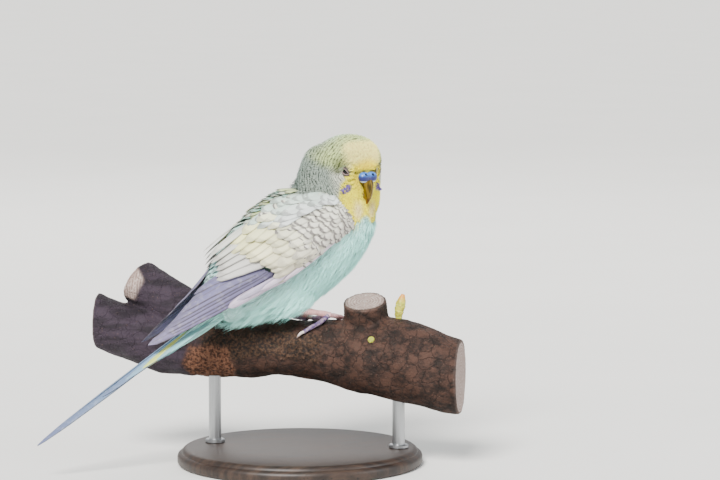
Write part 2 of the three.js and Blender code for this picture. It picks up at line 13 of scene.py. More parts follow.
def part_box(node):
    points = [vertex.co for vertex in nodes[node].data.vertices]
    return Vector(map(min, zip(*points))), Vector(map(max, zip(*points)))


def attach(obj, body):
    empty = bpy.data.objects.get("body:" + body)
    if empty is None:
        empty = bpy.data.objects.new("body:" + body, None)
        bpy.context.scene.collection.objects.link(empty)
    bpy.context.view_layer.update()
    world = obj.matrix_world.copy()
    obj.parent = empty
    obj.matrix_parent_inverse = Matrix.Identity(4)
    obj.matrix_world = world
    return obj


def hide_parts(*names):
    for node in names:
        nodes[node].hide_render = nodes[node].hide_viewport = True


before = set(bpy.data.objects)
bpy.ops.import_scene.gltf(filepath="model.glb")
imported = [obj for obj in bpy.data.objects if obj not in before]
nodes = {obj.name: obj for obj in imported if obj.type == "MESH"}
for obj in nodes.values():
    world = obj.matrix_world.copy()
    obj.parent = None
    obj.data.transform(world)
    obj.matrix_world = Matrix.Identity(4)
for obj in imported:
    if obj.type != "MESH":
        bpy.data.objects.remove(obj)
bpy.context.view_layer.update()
scene = bpy.context.scene
MM = 0.001

# The room
# A pale matt floor, a broad soft light high on the left, weaker lamps right and behind, and
# pale air all round. The camera looks through a long lens, level with the bird, as in the picture.
VIEW_AZIMUTH = math.radians(-20)
VIEW_ELEVATION = math.radians(6)
VIEW_AT = Vector((0.0268, 0.00057, 0.0924))
VIEW_DISTANCE = 1.3
VIEW_LENS = 156
SENSOR_WIDTH = 36
NEAR_LIMIT = 0.01
AIR_COLOUR = (0.86, 0.88, 0.9, 1)
AIR_STRENGTH = 0.85
# name, kind, place, size (an angle for the sun), power, colour
LAMPS = [("lamp_high", "SUN", (-0.62, -0.78, 1.0), 0.4, 7.2, (1, 0.975, 0.94)),
         ("lamp_side", "AREA", (0.95, -0.7, 0.5), 0.7, 7, (0.96, 0.98, 1)),
         ("lamp_behind", "AREA", (0.2, 1.1, 0.9), 0.7, 7, (1, 0.98, 0.95))]

backward = Vector((math.sin(VIEW_AZIMUTH) * math.cos(VIEW_ELEVATION),
                   -math.cos(VIEW_AZIMUTH) * math.cos(VIEW_ELEVATION),
                   math.sin(VIEW_ELEVATION)))
camera = bpy.data.objects.new("camera", bpy.data.cameras.new("camera"))
scene.collection.objects.link(camera)
camera.data.lens = VIEW_LENS
camera.data.sensor_width = SENSOR_WIDTH
camera.data.clip_start = NEAR_LIMIT
camera.location = VIEW_AT + VIEW_DISTANCE * backward
camera.rotation_euler = backward.to_track_quat("Z", "Y").to_euler()
scene.camera = camera

for name, kind, place, size, power, colour in LAMPS:
    lamp = bpy.data.lights.new(name, kind)
    if kind == "SUN":
        lamp.angle = size
    else:
        lamp.shape = "DISK"
        lamp.size = size
    lamp.energy = power
    lamp.color = colour
    holder = bpy.data.objects.new(name, lamp)
    scene.collection.objects.link(holder)
    holder.location = place
    holder.rotation_euler = (Vector(place) - VIEW_AT).to_track_quat("Z", "Y").to_euler()

world = bpy.data.worlds.new("air")
world.use_nodes = True
air = world.node_tree.nodes["Background"]
air.inputs["Color"].default_value = AIR_COLOUR
air.inputs["Strength"].default_value = AIR_STRENGTH
scene.world = world


def srgb(red, green, blue):
    """A colour as seen on a screen, 0 to 255, turned into the linear values that shaders use."""
    parts = [v / 255 for v in (red, green, blue)]
    return tuple(v / 12.92 if v <= 0.04045 else ((v + 0.055) / 1.055) ** 2.4 for v in parts)


class Nodes:
    """Adds nodes to a tree. An input given as a socket is linked, any other is set."""

    def __init__(self, tree):
        self.tree = tree

    def __call__(self, kind, inputs=None, **settings):
        node = self.tree.nodes.new(kind)
        for key, value in settings.items():
            setattr(node, key, value)
        for key, value in (inputs or {}).items():
            self.feed(node.inputs[key], value)
        return node

    def feed(self, socket, value):
        if isinstance(value, bpy.types.NodeSocket):
            self.tree.links.new(value, socket)
        elif isinstance(value, tuple) and len(value) == 3 and socket.type == "RGBA":
            socket.default_value = (*value, 1)
        else:
            socket.default_value = value

    def math(self, operation, first, second=0.0):
        node = self("ShaderNodeMath", {0: first, 1: second}, operation=operation)
        return node.outputs[0]

    def times(self, first, second):
        return self.math("MULTIPLY", first, second)

    def mix(self, share, first, second, blend="MIX"):
        node = self("ShaderNodeMix", {0: share, 6: first, 7: second},
                    data_type="RGBA", blend_type=blend)
        return node.outputs[2]

    def step(self, value, zero_at, one_at):
        """0 at one end of a range of values and beyond it, 1 at the other, smooth between."""
        node = self("ShaderNodeMapRange", {0: value, 1: zero_at, 2: one_at},
                    interpolation_type="SMOOTHSTEP")
        return node.outputs[0]

    def level(self, value, low, high, start=0.0, end=1.0):
        """A number that goes from low, where value is start, to high, where it is end."""
        node = self("ShaderNodeMapRange", {0: value, 1: start, 2: end, 3: low, 4: high})
        return node.outputs[0]

    def two_tone(self, value, first_at, second_at, first, second):
        """The first colour at one end of a range of values, the second at the other."""
        return self.mix(self.step(value, first_at, second_at), first, second)

    def grey(self, value):
        return self("ShaderNodeCombineColor", {0: value, 1: value, 2: value}).outputs[0]

    def noise(self, scale, detail=4, vector=None, roughness=0.6, stretch=None):
        place = vector or self("ShaderNodeTexCoord").outputs["Object"]
        if stretch:
            place = self("ShaderNodeVectorMath", {0: place, 1: stretch},
                         operation="MULTIPLY").outputs[0]
        node = self("ShaderNodeTexNoise", {"Vector": place, "Scale": scale, "Detail": detail,
                                           "Roughness": roughness})
        return node.outputs[0]

    def mark(self, name, part="Fac"):
        return self("ShaderNodeAttribute", attribute_name=name).outputs[part]


def new_material(name, **fixed):
    """A material, its node maker and its shader. fixed sets sockets that stay the same all over."""
    material = bpy.data.materials.new(name)
    material.use_nodes = True
    shader = material.node_tree.nodes["Principled BSDF"]
    for key, value in fixed.items():
        shader.inputs[key.replace("_", " ").title().replace("Ior", "IOR")].default_value = value
    return material, Nodes(material.node_tree), shader


def bump(add, shader, height, strength, distance):
    node = add("ShaderNodeBump", {"Height": height, "Strength": strength, "Distance": distance})
    add.feed(shader.inputs["Normal"], node.outputs[0])


def piece(name, points, faces, material, smooth=True):
    """A closed mesh in millimetres, placed by its points, its faces turned outwards."""
    mesh = bpy.data.meshes.new(name)
    mesh.from_pydata([tuple(p) for p in np.asarray(points, float) * MM], [], faces)
    work = bmesh.new()
    work.from_mesh(mesh)
    bmesh.ops.recalc_face_normals(work, faces=work.faces)
    work.to_mesh(mesh)
    work.free()
    if smooth:
        mesh.shade_smooth()
    else:
        mesh.shade_flat()
    mesh.materials.append(material)
    made = bpy.data.objects.new(name, mesh)
    scene.collection.objects.link(made)
    return made


floor_material, add, shader = new_material("floor_paint", roughness=0.9)
tone = add.noise(9, 5)
add.feed(shader.inputs["Base Color"], add.mix(tone, srgb(226, 226, 222), srgb(234, 233, 230)))
FLOOR_HALF = 20000
FLOOR_DEPTH = 2
corners = [(x, y, z) for z in (-FLOOR_DEPTH, 0) for x, y in ((-1, -1), (1, -1), (1, 1), (-1, 1))]
floor = piece("floor", [(x * FLOOR_HALF, y * FLOOR_HALF, z) for x, y, z in corners],
              [(0, 1, 2, 3), (4, 5, 6, 7), (0, 1, 5, 4), (1, 2, 6, 5), (2, 3, 7, 6), (3, 0, 4, 7)],
              floor_material, smooth=False)

# The stand
# A turned disc of dark stained ash with a small bead round its top, and two straight steel
# rods let into it, which run up into holes in the underside of the branch.
BASE_RADIUS = 51
BASE_HEIGHT = 7
# distance in from the rim, height: foot, side, a small step and the rounded top edge
BASE_EDGE = [(1.8, 0), (0.6, 0.4), (0, 1.3), (0, 3.4), (0.3, 4.3), (1.1, 4.9), (1.8, 5.2), (1.9, 5.6),
             (2.3, 6.2), (3.1, 6.8), (4.4, BASE_HEIGHT)]
BASE_STEPS = 160
ROD_STEPS = 40
CREASE = math.radians(35)


def turned(profile, steps, centre=(0, 0)):
    """Points and faces of a profile (radius, height) turned about a vertical line."""
    points = []
    faces = []
    for radius, height in profile[1:-1]:
        for i in range(steps):
            angle = 2 * math.pi * i / steps
            points.append((centre[0] + radius * math.cos(angle),
                           centre[1] + radius * math.sin(angle), height))
    rows = len(profile) - 2
    for r in range(rows - 1):
        for i in range(steps):
            j = (i + 1) % steps
            faces.append((r * steps + i, r * steps + j, (r + 1) * steps + j, (r + 1) * steps + i))
    faces.append(tuple(reversed(range(steps))))
    faces.append(tuple((rows - 1) * steps + i for i in range(steps)))
    return points, faces


wood, add, shader = new_material("stained_ash", specular_ior_level=0.4)
grain = add.noise(60, 6, stretch=(1, 9, 2))
pores = add.noise(900, 3, stretch=(0.25, 6, 1))
shade = add.two_tone(grain, 0.35, 0.68, srgb(34, 26, 22), srgb(62, 47, 38))
shade = add.two_tone(pores, 0.58, 0.66, shade, srgb(20, 15, 13))
add.feed(shader.inputs["Base Color"], shade)
add.feed(shader.inputs["Roughness"], add.level(grain, 0.36, 0.52))
bump(add, shader, pores, 0.25, 0.0002)
profile = [(0, 0), *[(BASE_RADIUS - back, height) for back, height in BASE_EDGE], (0, BASE_HEIGHT)]
base = piece("stand_base_disc", *turned(profile, BASE_STEPS), wood)
base.data.set_sharp_from_angle(angle=CREASE)
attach(base, "root")
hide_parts("stand_base")

steel, add, shader = new_material("brushed_steel", metallic=1.0)
brush = add.noise(1500, 2, stretch=(1, 1, 0.03))
add.feed(shader.inputs["Base Color"], add.mix(brush, srgb(150, 152, 154), srgb(188, 190, 192)))
add.feed(shader.inputs["Roughness"], add.level(brush, 0.28, 0.44))
bump(add, shader, brush, 0.12, 0.00005)
# a shallow steel collar round each rod's foot, and how far the rod goes on into the branch
COLLAR = 1.5
COLLAR_HEIGHT = 1.4
ROD_LET_IN = 0.4
for name in ("stand_rod_1", "stand_rod_2"):
    low, high = [np.array(corner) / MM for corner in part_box(name)]
    middle = (low[:2] + high[:2]) / 2
    radius = (high[0] - low[0]) / 2
    ring = radius + COLLAR
    foot, top = low[2], high[2] + ROD_LET_IN
    profile = [(0, foot), (ring, foot), (ring, foot + 0.9), (ring - 0.4, foot + 1.3),
               (radius, foot + COLLAR_HEIGHT), (radius, top), (0, top)]
    rod = piece(name + "_steel", *turned(profile, ROD_STEPS, middle), steel)
    rod.data.set_sharp_from_angle(angle=CREASE)
    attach(rod, "root")
    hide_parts(name)

# The perch
# A cut length of a living branch with the sawn stubs of two side shoots. The bark is smooth
# and grey-brown at one end, warty in the middle, broken to orange wood below, purplish behind.
BRANCH_HEADING = math.radians(-30)
BRANCH_AT = np.array((8.0, 0, 0))
# distance along, height of the middle, radius
BRANCH = [(-94, 57.5, 11.4), (-71, 49.8, 12.4), (-42, 47.2, 12.6), (-16, 48.2, 12),
          (7, 46.2, 13.2), (22, 45, 16.2), (34, 44.2, 17.4), (44, 41.4, 16.6), (60, 37.2, 15.6)]
# x, y, z, radius of each side shoot, from inside the branch to its cut
FRONT_STUB = [(26.5, -6, 44, 12.5), (26, -8.2, 54, 10.8), (25.6, -10.2, 61, 9.3),
              (24.2, -12.2, 68.3, 8.9)]
BACK_STUB = [(-31, 21, 50, 11), (-40, 28, 60, 10.6), (-48.5, 37, 67, 9.9), (-56, 46.5, 73.5, 9.4)]
BARK_VOXEL = 0.6
BRANCH_STEPS = 220
BRANCH_SIDES = 96
STUB_STEPS = 40
STUB_SIDES = 64
# the torn side of the back stub's end
SCAR_WAY = np.array((-0.9, -0.35, 0.25)) / 0.997
UP = np.array((0, 0, 1))
branch_along = np.array((math.cos(BRANCH_HEADING), math.sin(BRANCH_HEADING), 0))
branch_across = np.array((-branch_along[1], branch_along[0], 0))


def through(rows, t):
    """A smooth line through rows of numbers, read at places t from 0 to 1."""
    rows = np.asarray(rows, float)
    last = len(rows) - 1
    place = np.clip(np.atleast_1d(t), 0, 1) * last
    i = np.minimum(place.astype(int), last - 1)
    f = (place - i)[:, None]
    a, b, c, d = [rows[np.clip(i + k, 0, last)] for k in (-1, 0, 1, 2)]
    return b + 0.5 * f * (c - a + f * (2 * a - 5 * b + 4 * c - d + f * (3 * (b - c) + d - a)))


def branch_at(s):
    """Middle and radius of the branch at distances s along it."""
    t = np.linspace(0, 1, 400)
    rows = through(BRANCH, t)
    height = np.interp(s, rows[:, 0], rows[:, 1])
    radius = np.interp(s, rows[:, 0], rows[:, 2])
    middle = BRANCH_AT + np.multiply.outer(s, branch_along)
    middle[..., 2] = height
    return middle, radius


def on_bark(s, angle, lift=0.0):
    """A point over the bark: angle 0 is the top, positive angles turn to the far side."""
    s, angle = np.asarray(s), np.asarray(angle)
    middle, radius = branch_at(s)
    uneven = 0.35 * np.sin(0.31 * s + 3 * angle) + 0.3 * np.sin(0.17 * s - 2 * angle)
    reach = radius + uneven + lift
    return (middle + (reach * np.sin(angle))[..., None] * branch_across
            + (reach * np.cos(angle))[..., None] * UP)


def rings_to_mesh(rings, offset=0):
    """Points and faces of a closed skin through rings of equal count."""
    count = rings.shape[1]
    r, i = np.meshgrid(np.arange(len(rings) - 1), np.arange(count), indexing="ij")
    a = offset + r * count + i
    b = offset + r * count + (i + 1) % count
    quads = np.stack([a, b, b + count, a + count], -1).reshape(-1, 4)
    faces = [tuple(q) for q in quads]
    last = offset + (len(rings) - 1) * count
    faces.append(tuple(reversed(range(offset, offset + count))))
    faces.append(tuple(range(last, last + count)))
    return rings.reshape(-1, 3), faces


def shoot_rings(rows, steps, sides):
    """Rings of a tapered round length through rows of x, y, z, radius."""
    t = np.linspace(0, 1, steps)
    line = through(rows, t)
    along = through(rows, t + 0.01)[:, :3] - through(rows, t - 0.01)[:, :3]
    along /= np.linalg.norm(along, axis=1)[:, None]
    ref = np.where(np.abs(along[:, 2:]) > 0.9, (1.0, 0, 0), (0, 0, 1.0))
    across = np.cross(ref, along)
    across /= np.linalg.norm(across, axis=1)[:, None]
    up = np.cross(along, across)
    angle = np.linspace(0, 2 * math.pi, sides, endpoint=False)[None, :, None]
    return (line[:, None, :3] + line[:, None, 3:] * (across[:, None] * np.cos(angle)
                                                      + up[:, None] * np.sin(angle)))


def evaluated(made):
    """The object's mesh with its modifiers applied, put in place of its own mesh."""
    graph = bpy.context.evaluated_depsgraph_get()
    mesh = bpy.data.meshes.new_from_object(made.evaluated_get(graph), depsgraph=graph)
    made.modifiers.clear()
    made.data = mesh
    return mesh


def get_points(mesh):
    points = np.empty(len(mesh.vertices) * 3, np.float32)
    mesh.vertices.foreach_get("co", points)
    return points.reshape(-1, 3).astype(float) / MM


def get_normals(mesh):
    normals = np.empty(len(mesh.vertices) * 3, np.float32)
    mesh.vertices.foreach_get("normal", normals)
    return normals.reshape(-1, 3).astype(float)


def set_points(mesh, points):
    mesh.vertices.foreach_set("co", (points * MM).astype(np.float32).ravel())
    mesh.update()


def put_mark(mesh, name, values, kind="FLOAT"):
    field = {"FLOAT": "value", "FLOAT_VECTOR": "vector", "FLOAT_COLOR": "color",
             "FLOAT2": "vector"}[kind]
    layer = mesh.attributes.new(name, kind, "POINT")
    layer.data.foreach_set(field, np.asarray(values, np.float32).ravel())


def remeshed(made, voxel, rounds):
    """Fuses the object's shells into one even skin and smooths it."""
    fuse = made.modifiers.new("fuse", "REMESH")
    fuse.mode = "VOXEL"
    fuse.voxel_size = voxel * MM
    calm = made.modifiers.new("calm", "SMOOTH")
    calm.iterations = rounds
    mesh = evaluated(made)
    mesh.shade_smooth()
    return mesh


def smoothstep(value, low, high):
    t = np.clip((value - low) / (high - low), 0, 1)
    return t * t * (3 - 2 * t)


def rough(points, scale, seed=0.0):
    """Smooth noise from about -1 to 1 at each point."""
    return np.array([noise.noise(Vector(p) * scale + Vector((seed, seed, seed))) for p in points])


s = np.linspace(BRANCH[0][0], BRANCH[-1][0], BRANCH_STEPS)[:, None]
angle = np.linspace(0, 2 * math.pi, BRANCH_SIDES, endpoint=False)[None, :]
s, angle = np.broadcast_arrays(s, angle)
points, faces = rings_to_mesh(on_bark(s, angle))
for rows in (FRONT_STUB, BACK_STUB):
    more, new_faces = rings_to_mesh(shoot_rings(rows, STUB_STEPS, STUB_SIDES), len(points))
    points = np.concatenate([points, more])
    faces += new_faces

bark, add, shader = new_material("living_bark", specular_ior_level=0.3)
place = add("ShaderNodeTexCoord").outputs["Object"]
mottle = add.noise(210, 9, roughness=0.72, stretch=(0.75, 0.75, 1.2))
bend = add("ShaderNodeTexNoise", {"Vector": place, "Scale": 260.0, "Detail": 4.0}).outputs[1]
bent = add("ShaderNodeVectorMath", {0: bend, 1: (0.5, 0.5, 0.5)}, operation="SUBTRACT").outputs[0]
bent = add("ShaderNodeVectorMath", {0: bent, "Scale": 0.006}, operation="SCALE").outputs[0]
bent = add("ShaderNodeVectorMath", {0: place, 1: bent}, operation="ADD").outputs[0]
crack = add("ShaderNodeTexVoronoi", {"Vector": bent, "Scale": 170.0},
            feature="DISTANCE_TO_EDGE").outputs[0]
crack = add.step(crack, 0.07, 0.0)
fine = add.noise(900, 5)
streak = add.noise(160, 5, stretch=(0.35, 0.35, 1.6))
speck = add.noise(1500, 3)
shade = add.two_tone(mottle, 0.38, 0.62, srgb(26, 15, 10), srgb(66, 44, 35))
shade = add.mix(add.times(crack, 0.55), shade, srgb(12, 8, 6))
shade = add.mix(add.mark("behind"), shade,
                add.two_tone(streak, 0.4, 0.6, srgb(28, 21, 29), srgb(50, 40, 51)))
shade = add.mix(add.times(add.mark("warty"), 0.9), shade,
                add.two_tone(fine, 0.4, 0.62, srgb(20, 12, 8), srgb(68, 48, 34)))
shade = add.mix(add.mark("torn"), shade,
                add.two_tone(fine, 0.38, 0.6, srgb(48, 27, 17), srgb(116, 78, 58)))
rings = add("ShaderNodeTexWave", {"Vector": add.mark("ring", "Vector"), "Scale": 260.0,
                                  "Distortion": 2.0, "Detail": 2.0}, wave_type="RINGS",
            rings_direction="SPHERICAL").outputs[1]
sawn = add.two_tone(rings, 0.3, 0.8, srgb(134, 114, 106), srgb(164, 146, 138))
sawn = add.two_tone(fine, 0.5, 0.75, sawn, srgb(196, 182, 176))
shade = add.mix(add.mark("cut"), shade, sawn)
shade = add.mix(add.times(add.step(fine, 0.6, 0.72), 0.25), shade, srgb(128, 104, 92))
shade = add.mix(add.times(add.step(speck, 0.6, 0.68), 0.55), shade, srgb(16, 10, 8))
add.feed(shader.inputs["Base Color"], shade)
add.feed(shader.inputs["Roughness"], add.level(fine, 0.6, 0.95))
relief = add.math("ADD", add.times(fine, 0.6), add.times(mottle, 0.9))
relief = add.math("SUBTRACT", relief, add.times(crack, 0.5))
bump(add, shader, relief, 0.7, 0.0008)

branch = piece("perch_bark", points, faces, bark)
mesh = remeshed(branch, BARK_VOXEL, 4)
points = get_points(mesh)
normals = get_normals(mesh)
offset = points - BRANCH_AT
s = offset @ branch_along
middle, radius = branch_at(s)
side = (points - middle) @ branch_across
angle = np.arctan2(side, points[:, 2] - middle[:, 2])
on_trunk = smoothstep(np.hypot(side, points[:, 2] - middle[:, 2]) - radius, 2.5, 1.0)
wander = rough(points, 0.11)


def stub_cut(rows):
    """How far each point is past a stub's cut, its distance from the stub's line, the cut's
    middle and radius."""
    end = np.array(rows[-1][:3])
    way = end - np.array(rows[-2][:3])
    way /= np.linalg.norm(way)
    past = (points - end) @ way
    return past, np.linalg.norm(points - end - past[:, None] * way, axis=1), end, rows[-1][3]


cuts = [stub_cut(FRONT_STUB), stub_cut(BACK_STUB)]
from_middle = np.linalg.norm(points - middle, axis=1)
for sign, (place, _, reach) in ((1, BRANCH[-1]), (-1, BRANCH[0])):
    cuts.append((sign * (s - place), from_middle, branch_at(np.array([place]))[0][0], reach))
cut = np.zeros(len(points))
ring_place = np.zeros((len(points), 3))
for past, away, end, reach in cuts:
    here = smoothstep(past, -0.9, -0.5) * smoothstep(away, reach + 3, reach + 1)
    here *= 1 - 0.9 * smoothstep(away, reach - 1.3, reach - 0.8)
    cut = np.maximum(cut, here)
    ring_place = np.where((past > -1.5)[:, None], (points - end) * MM, ring_place)
stub_end = np.array(BACK_STUB[-1][:3])
scar = (points - stub_end) @ SCAR_WAY + 1.2 * wander
near_end = smoothstep(np.linalg.norm(points - stub_end, axis=1), 13, 11)
cut = np.maximum(cut, smoothstep(scar, 5.2, 6.2) * near_end)
degrees = np.degrees(angle)
warty = (smoothstep(s + 5 * wander, -48, -43) * smoothstep(s + 4 * wander, 5, 1)
         * smoothstep(degrees + 14 * wander, -112, -100) * smoothstep(degrees + 10 * wander, -42, -52)
         * on_trunk)
torn = (smoothstep(s + 4 * wander, -54, -50) * smoothstep(s + 4 * wander, -33, -36)
        * smoothstep(np.abs(degrees) + 10 * wander, 76, 90) * (degrees < 0) * on_trunk)
behind = smoothstep(s + 6 * wander, -38, -56) * (1 - torn)
pimples = np.clip(rough(points, 0.62, 5), 0, 1) ** 0.8
crumbs = rough(points, 0.9, 9)
folds = rough(points * (1, 1, 0.4), 0.25, 3)
lift = 0.25 * folds + 0.9 * warty * pimples + torn * (0.7 * crumbs - 0.7) + 0.12 * rough(points, 1.3, 2)
set_points(mesh, points + normals * (lift * (1 - cut))[:, None])
for name, values in (("cut", cut), ("warty", warty), ("torn", torn), ("behind", behind)):
    put_mark(mesh, name, values)
put_mark(mesh, "ring", ring_place, "FLOAT_VECTOR")
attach(branch, "root")
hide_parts("perch_branch")

# The bud
# A young side bud in the crook behind the front stub: a stack of small yellow-green scales
# that overlap like tiles, with an orange tip.
BUD = [(37.4, -17, 60, 1.1), (37.5, -17.1, 63.5, 1.9), (38.3, -17.3, 67.5, 2.2),
       (39.2, -17.5, 71.2, 0.8)]
BUD_STEPS = 60
BUD_SIDES = 40
SCALE_ROWS = 5
# place along the branch and turn round it, then share of its height and radius
SMALL_BUD = (24.8, -0.98)
SMALL_BUD_ROWS = [(0, 1.5), (0.5, 1.4), (0.8, 0.9), (1, 0.2)]
bud_skin, add, shader = new_material("bud_scales", roughness=0.5, subsurface_weight=0.1)
height = add("ShaderNodeSeparateXYZ", {0: add("ShaderNodeTexCoord").outputs["Object"]}).outputs[2]
bands = add.noise(700, 3)
shade = add.two_tone(bands, 0.4, 0.6, srgb(150, 152, 44), srgb(196, 190, 70))
shade = add.two_tone(height, 0.0675, 0.0712, shade, srgb(214, 138, 48))
add.feed(shader.inputs["Base Color"], shade)
bump(add, shader, bands, 0.3, 0.0002)
rings = shoot_rings(BUD, BUD_STEPS, BUD_SIDES)
turn = np.linspace(0, 2 * math.pi, BUD_SIDES, endpoint=False)[None, :]
climb = np.linspace(0, 1, BUD_STEPS)[:, None]
leaf = (climb * SCALE_ROWS + np.where(np.cos(turn) > 0, 0, 0.5)) % 1
centre = rings.mean(1)[:, None]
rings = centre + (rings - centre) * (0.86 + 0.2 * leaf * np.sqrt(1 - climb))[..., None]
bud = piece("perch_bud_scales", *rings_to_mesh(rings), bud_skin)
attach(bud, "root")
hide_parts("perch_bud")
low_end = on_bark(*SMALL_BUD, -1.0)
high_end = on_bark(*SMALL_BUD, 1.3)
rows = [(*(low_end + (high_end - low_end) * t), radius) for t, radius in SMALL_BUD_ROWS]
small_bud = piece("perch_bud_small", *rings_to_mesh(shoot_rings(rows, 24, 24)), bud_skin)
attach(small_bud, "root")

# The skin
# One soft skin under all the feathers, from the forehead to the rump and down both thighs.
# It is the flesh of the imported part, fused, smoothed and drawn in by the depth of the coat.
SKIN_VOXEL = 0.9
CUT_FILL = 0.4
COAT_ON_HEAD = 0.7
COAT_ON_BODY = 1.5
EYE_BED = 2.6
# forward, to the side and up from the head's centre
EYE_PLACE = (7.2, 6.2, -0.8)
HEAD_CENTRE = np.array((21.5, -2, 123))
HEAD_TURN = math.radians(-72)
forward = np.array((math.cos(HEAD_TURN), math.sin(HEAD_TURN), 0))
leftward = np.array((-math.sin(HEAD_TURN), math.cos(HEAD_TURN), 0))
BODY_AXIS_FROM = np.array((24.0, 0, 111))
BODY_AXIS_TO = np.array((-41.0, 0, 63))
BODY_SLOPE = 0.7385


def head_place(points):
    """Forward, left and up places of points from the head's centre."""
    away = points - HEAD_CENTRE
    return away @ forward, away @ leftward, away[:, 2]


def head_point(f, l, h):
    """The points at forward, left and up places from the head's centre."""
    return (HEAD_CENTRE + np.multiply.outer(f, forward) + np.multiply.outer(l, leftward)
            + np.multiply.outer(h, UP))


def above_axis(points):
    """Height of points over the body's slanting middle line."""
    return points[:, 2] - BODY_SLOPE * (points[:, 0] - BODY_AXIS_TO[0]) - BODY_AXIS_TO[2]


EYE = {side: head_point(EYE_PLACE[0], side * EYE_PLACE[1], EYE_PLACE[2]) for side in (-1, 1)}


def eye_gap(points):
    """Distance of points from the nearer eye's middle."""
    return np.min([np.linalg.norm(points - spot, axis=1) for spot in EYE.values()], axis=0)


def joined_copy(name, names):
    """Copies of CAD solids in one new object, their loose triangles merged."""
    made = bpy.data.objects.new(name, bpy.data.meshes.new(name))
    scene.collection.objects.link(made)
    points = []
    faces = []
    for source in names:
        mesh = nodes[source].data
        start = len(points)
        points += [tuple(v.co) for v in mesh.vertices]
        faces += [tuple(start + i for i in p.vertices) for p in mesh.polygons]
    made.data.from_pydata(points, [], faces)
    weld = made.modifiers.new("weld", "WELD")
    weld.merge_threshold = 0.00001
    return made


skin = joined_copy("bird_skin", ["torso", "neck", "head", "thigh_right", "thigh_left", "eye_right",
                                 "eye_left"])
grow = skin.modifiers.new("fill_cuts", "DISPLACE")
grow.strength = CUT_FILL * MM
grow.mid_level = 0
mesh = remeshed(skin, SKIN_VOXEL, 14)
points = get_points(mesh)
normals = get_normals(mesh)
on_head = smoothstep(np.linalg.norm(points - HEAD_CENTRE - (0, 0, 2), axis=1), 26, 19)
depth = CUT_FILL + COAT_ON_BODY + (COAT_ON_HEAD - COAT_ON_BODY) * on_head
points = points - normals * depth[:, None]
for spot in EYE.values():
    away = points - spot
    gap = np.linalg.norm(away, axis=1)
    share = smoothstep(gap, 5.2, 3.6)
    points = spot + away * (1 - share + share * np.minimum(gap, EYE_BED) / gap)[:, None]
set_points(mesh, points)
skin_tree = BVHTree.FromPolygons([tuple(p) for p in points],
                                 [tuple(p.vertices) for p in mesh.polygons])

# Colours of the plumage, by region
MASK = (255, 244, 44)
MASK_DEEP = (255, 234, 44)
LOBE = (252, 236, 196)
FOREHEAD = (250, 240, 150)
CROWN = (204, 218, 150)
NAPE = (138, 154, 146)
CHEEK = (222, 222, 206)
BREAST = (208, 252, 246)
BREAST_SHADE = (176, 246, 236)
MANTLE = (190, 204, 184)
RUMP = (170, 214, 210)
PATCH = (116, 96, 168)
# BROW_SHADE is painted shade: the plumage over and behind each eye darkened to olive
BROW_SHADE = (88, 94, 44)
PATCH_PLACE = np.array((8.0, 8.4, -8.0))
CROWN_LINE = 10
# half width of the yellow mask by height
MASK_WIDTH = [(-21, 8), (-17.4, 9.3), (-14, 11.8), (-11.3, 12.3), (-8.5, 12.1), (-5.8, 10.6),
              (-3, 8.4), (0, 7.3)]


def blend(first, second, share):
    return first + (second - first) * np.clip(share, 0, 1)[:, None]


def on_patch(points):
    """1 on the violet strokes of each cheek."""
    f, l, h = head_place(points)
    out, aside, up = f - PATCH_PLACE[0], np.abs(l) - PATCH_PLACE[1], h - PATCH_PLACE[2]
    along = 0.44 * out - 0.66 * aside + 0.61 * up
    across = -0.44 * out + 0.43 * aside + 0.79 * up
    whole = smoothstep(np.hypot(along / 2.7, across / 1.5), 1.1, 0.85) * (np.abs(l) > 5)
    return whole * smoothstep(np.cos(2 * math.pi * along / 1.35 + 0.5), -0.95, -0.6)


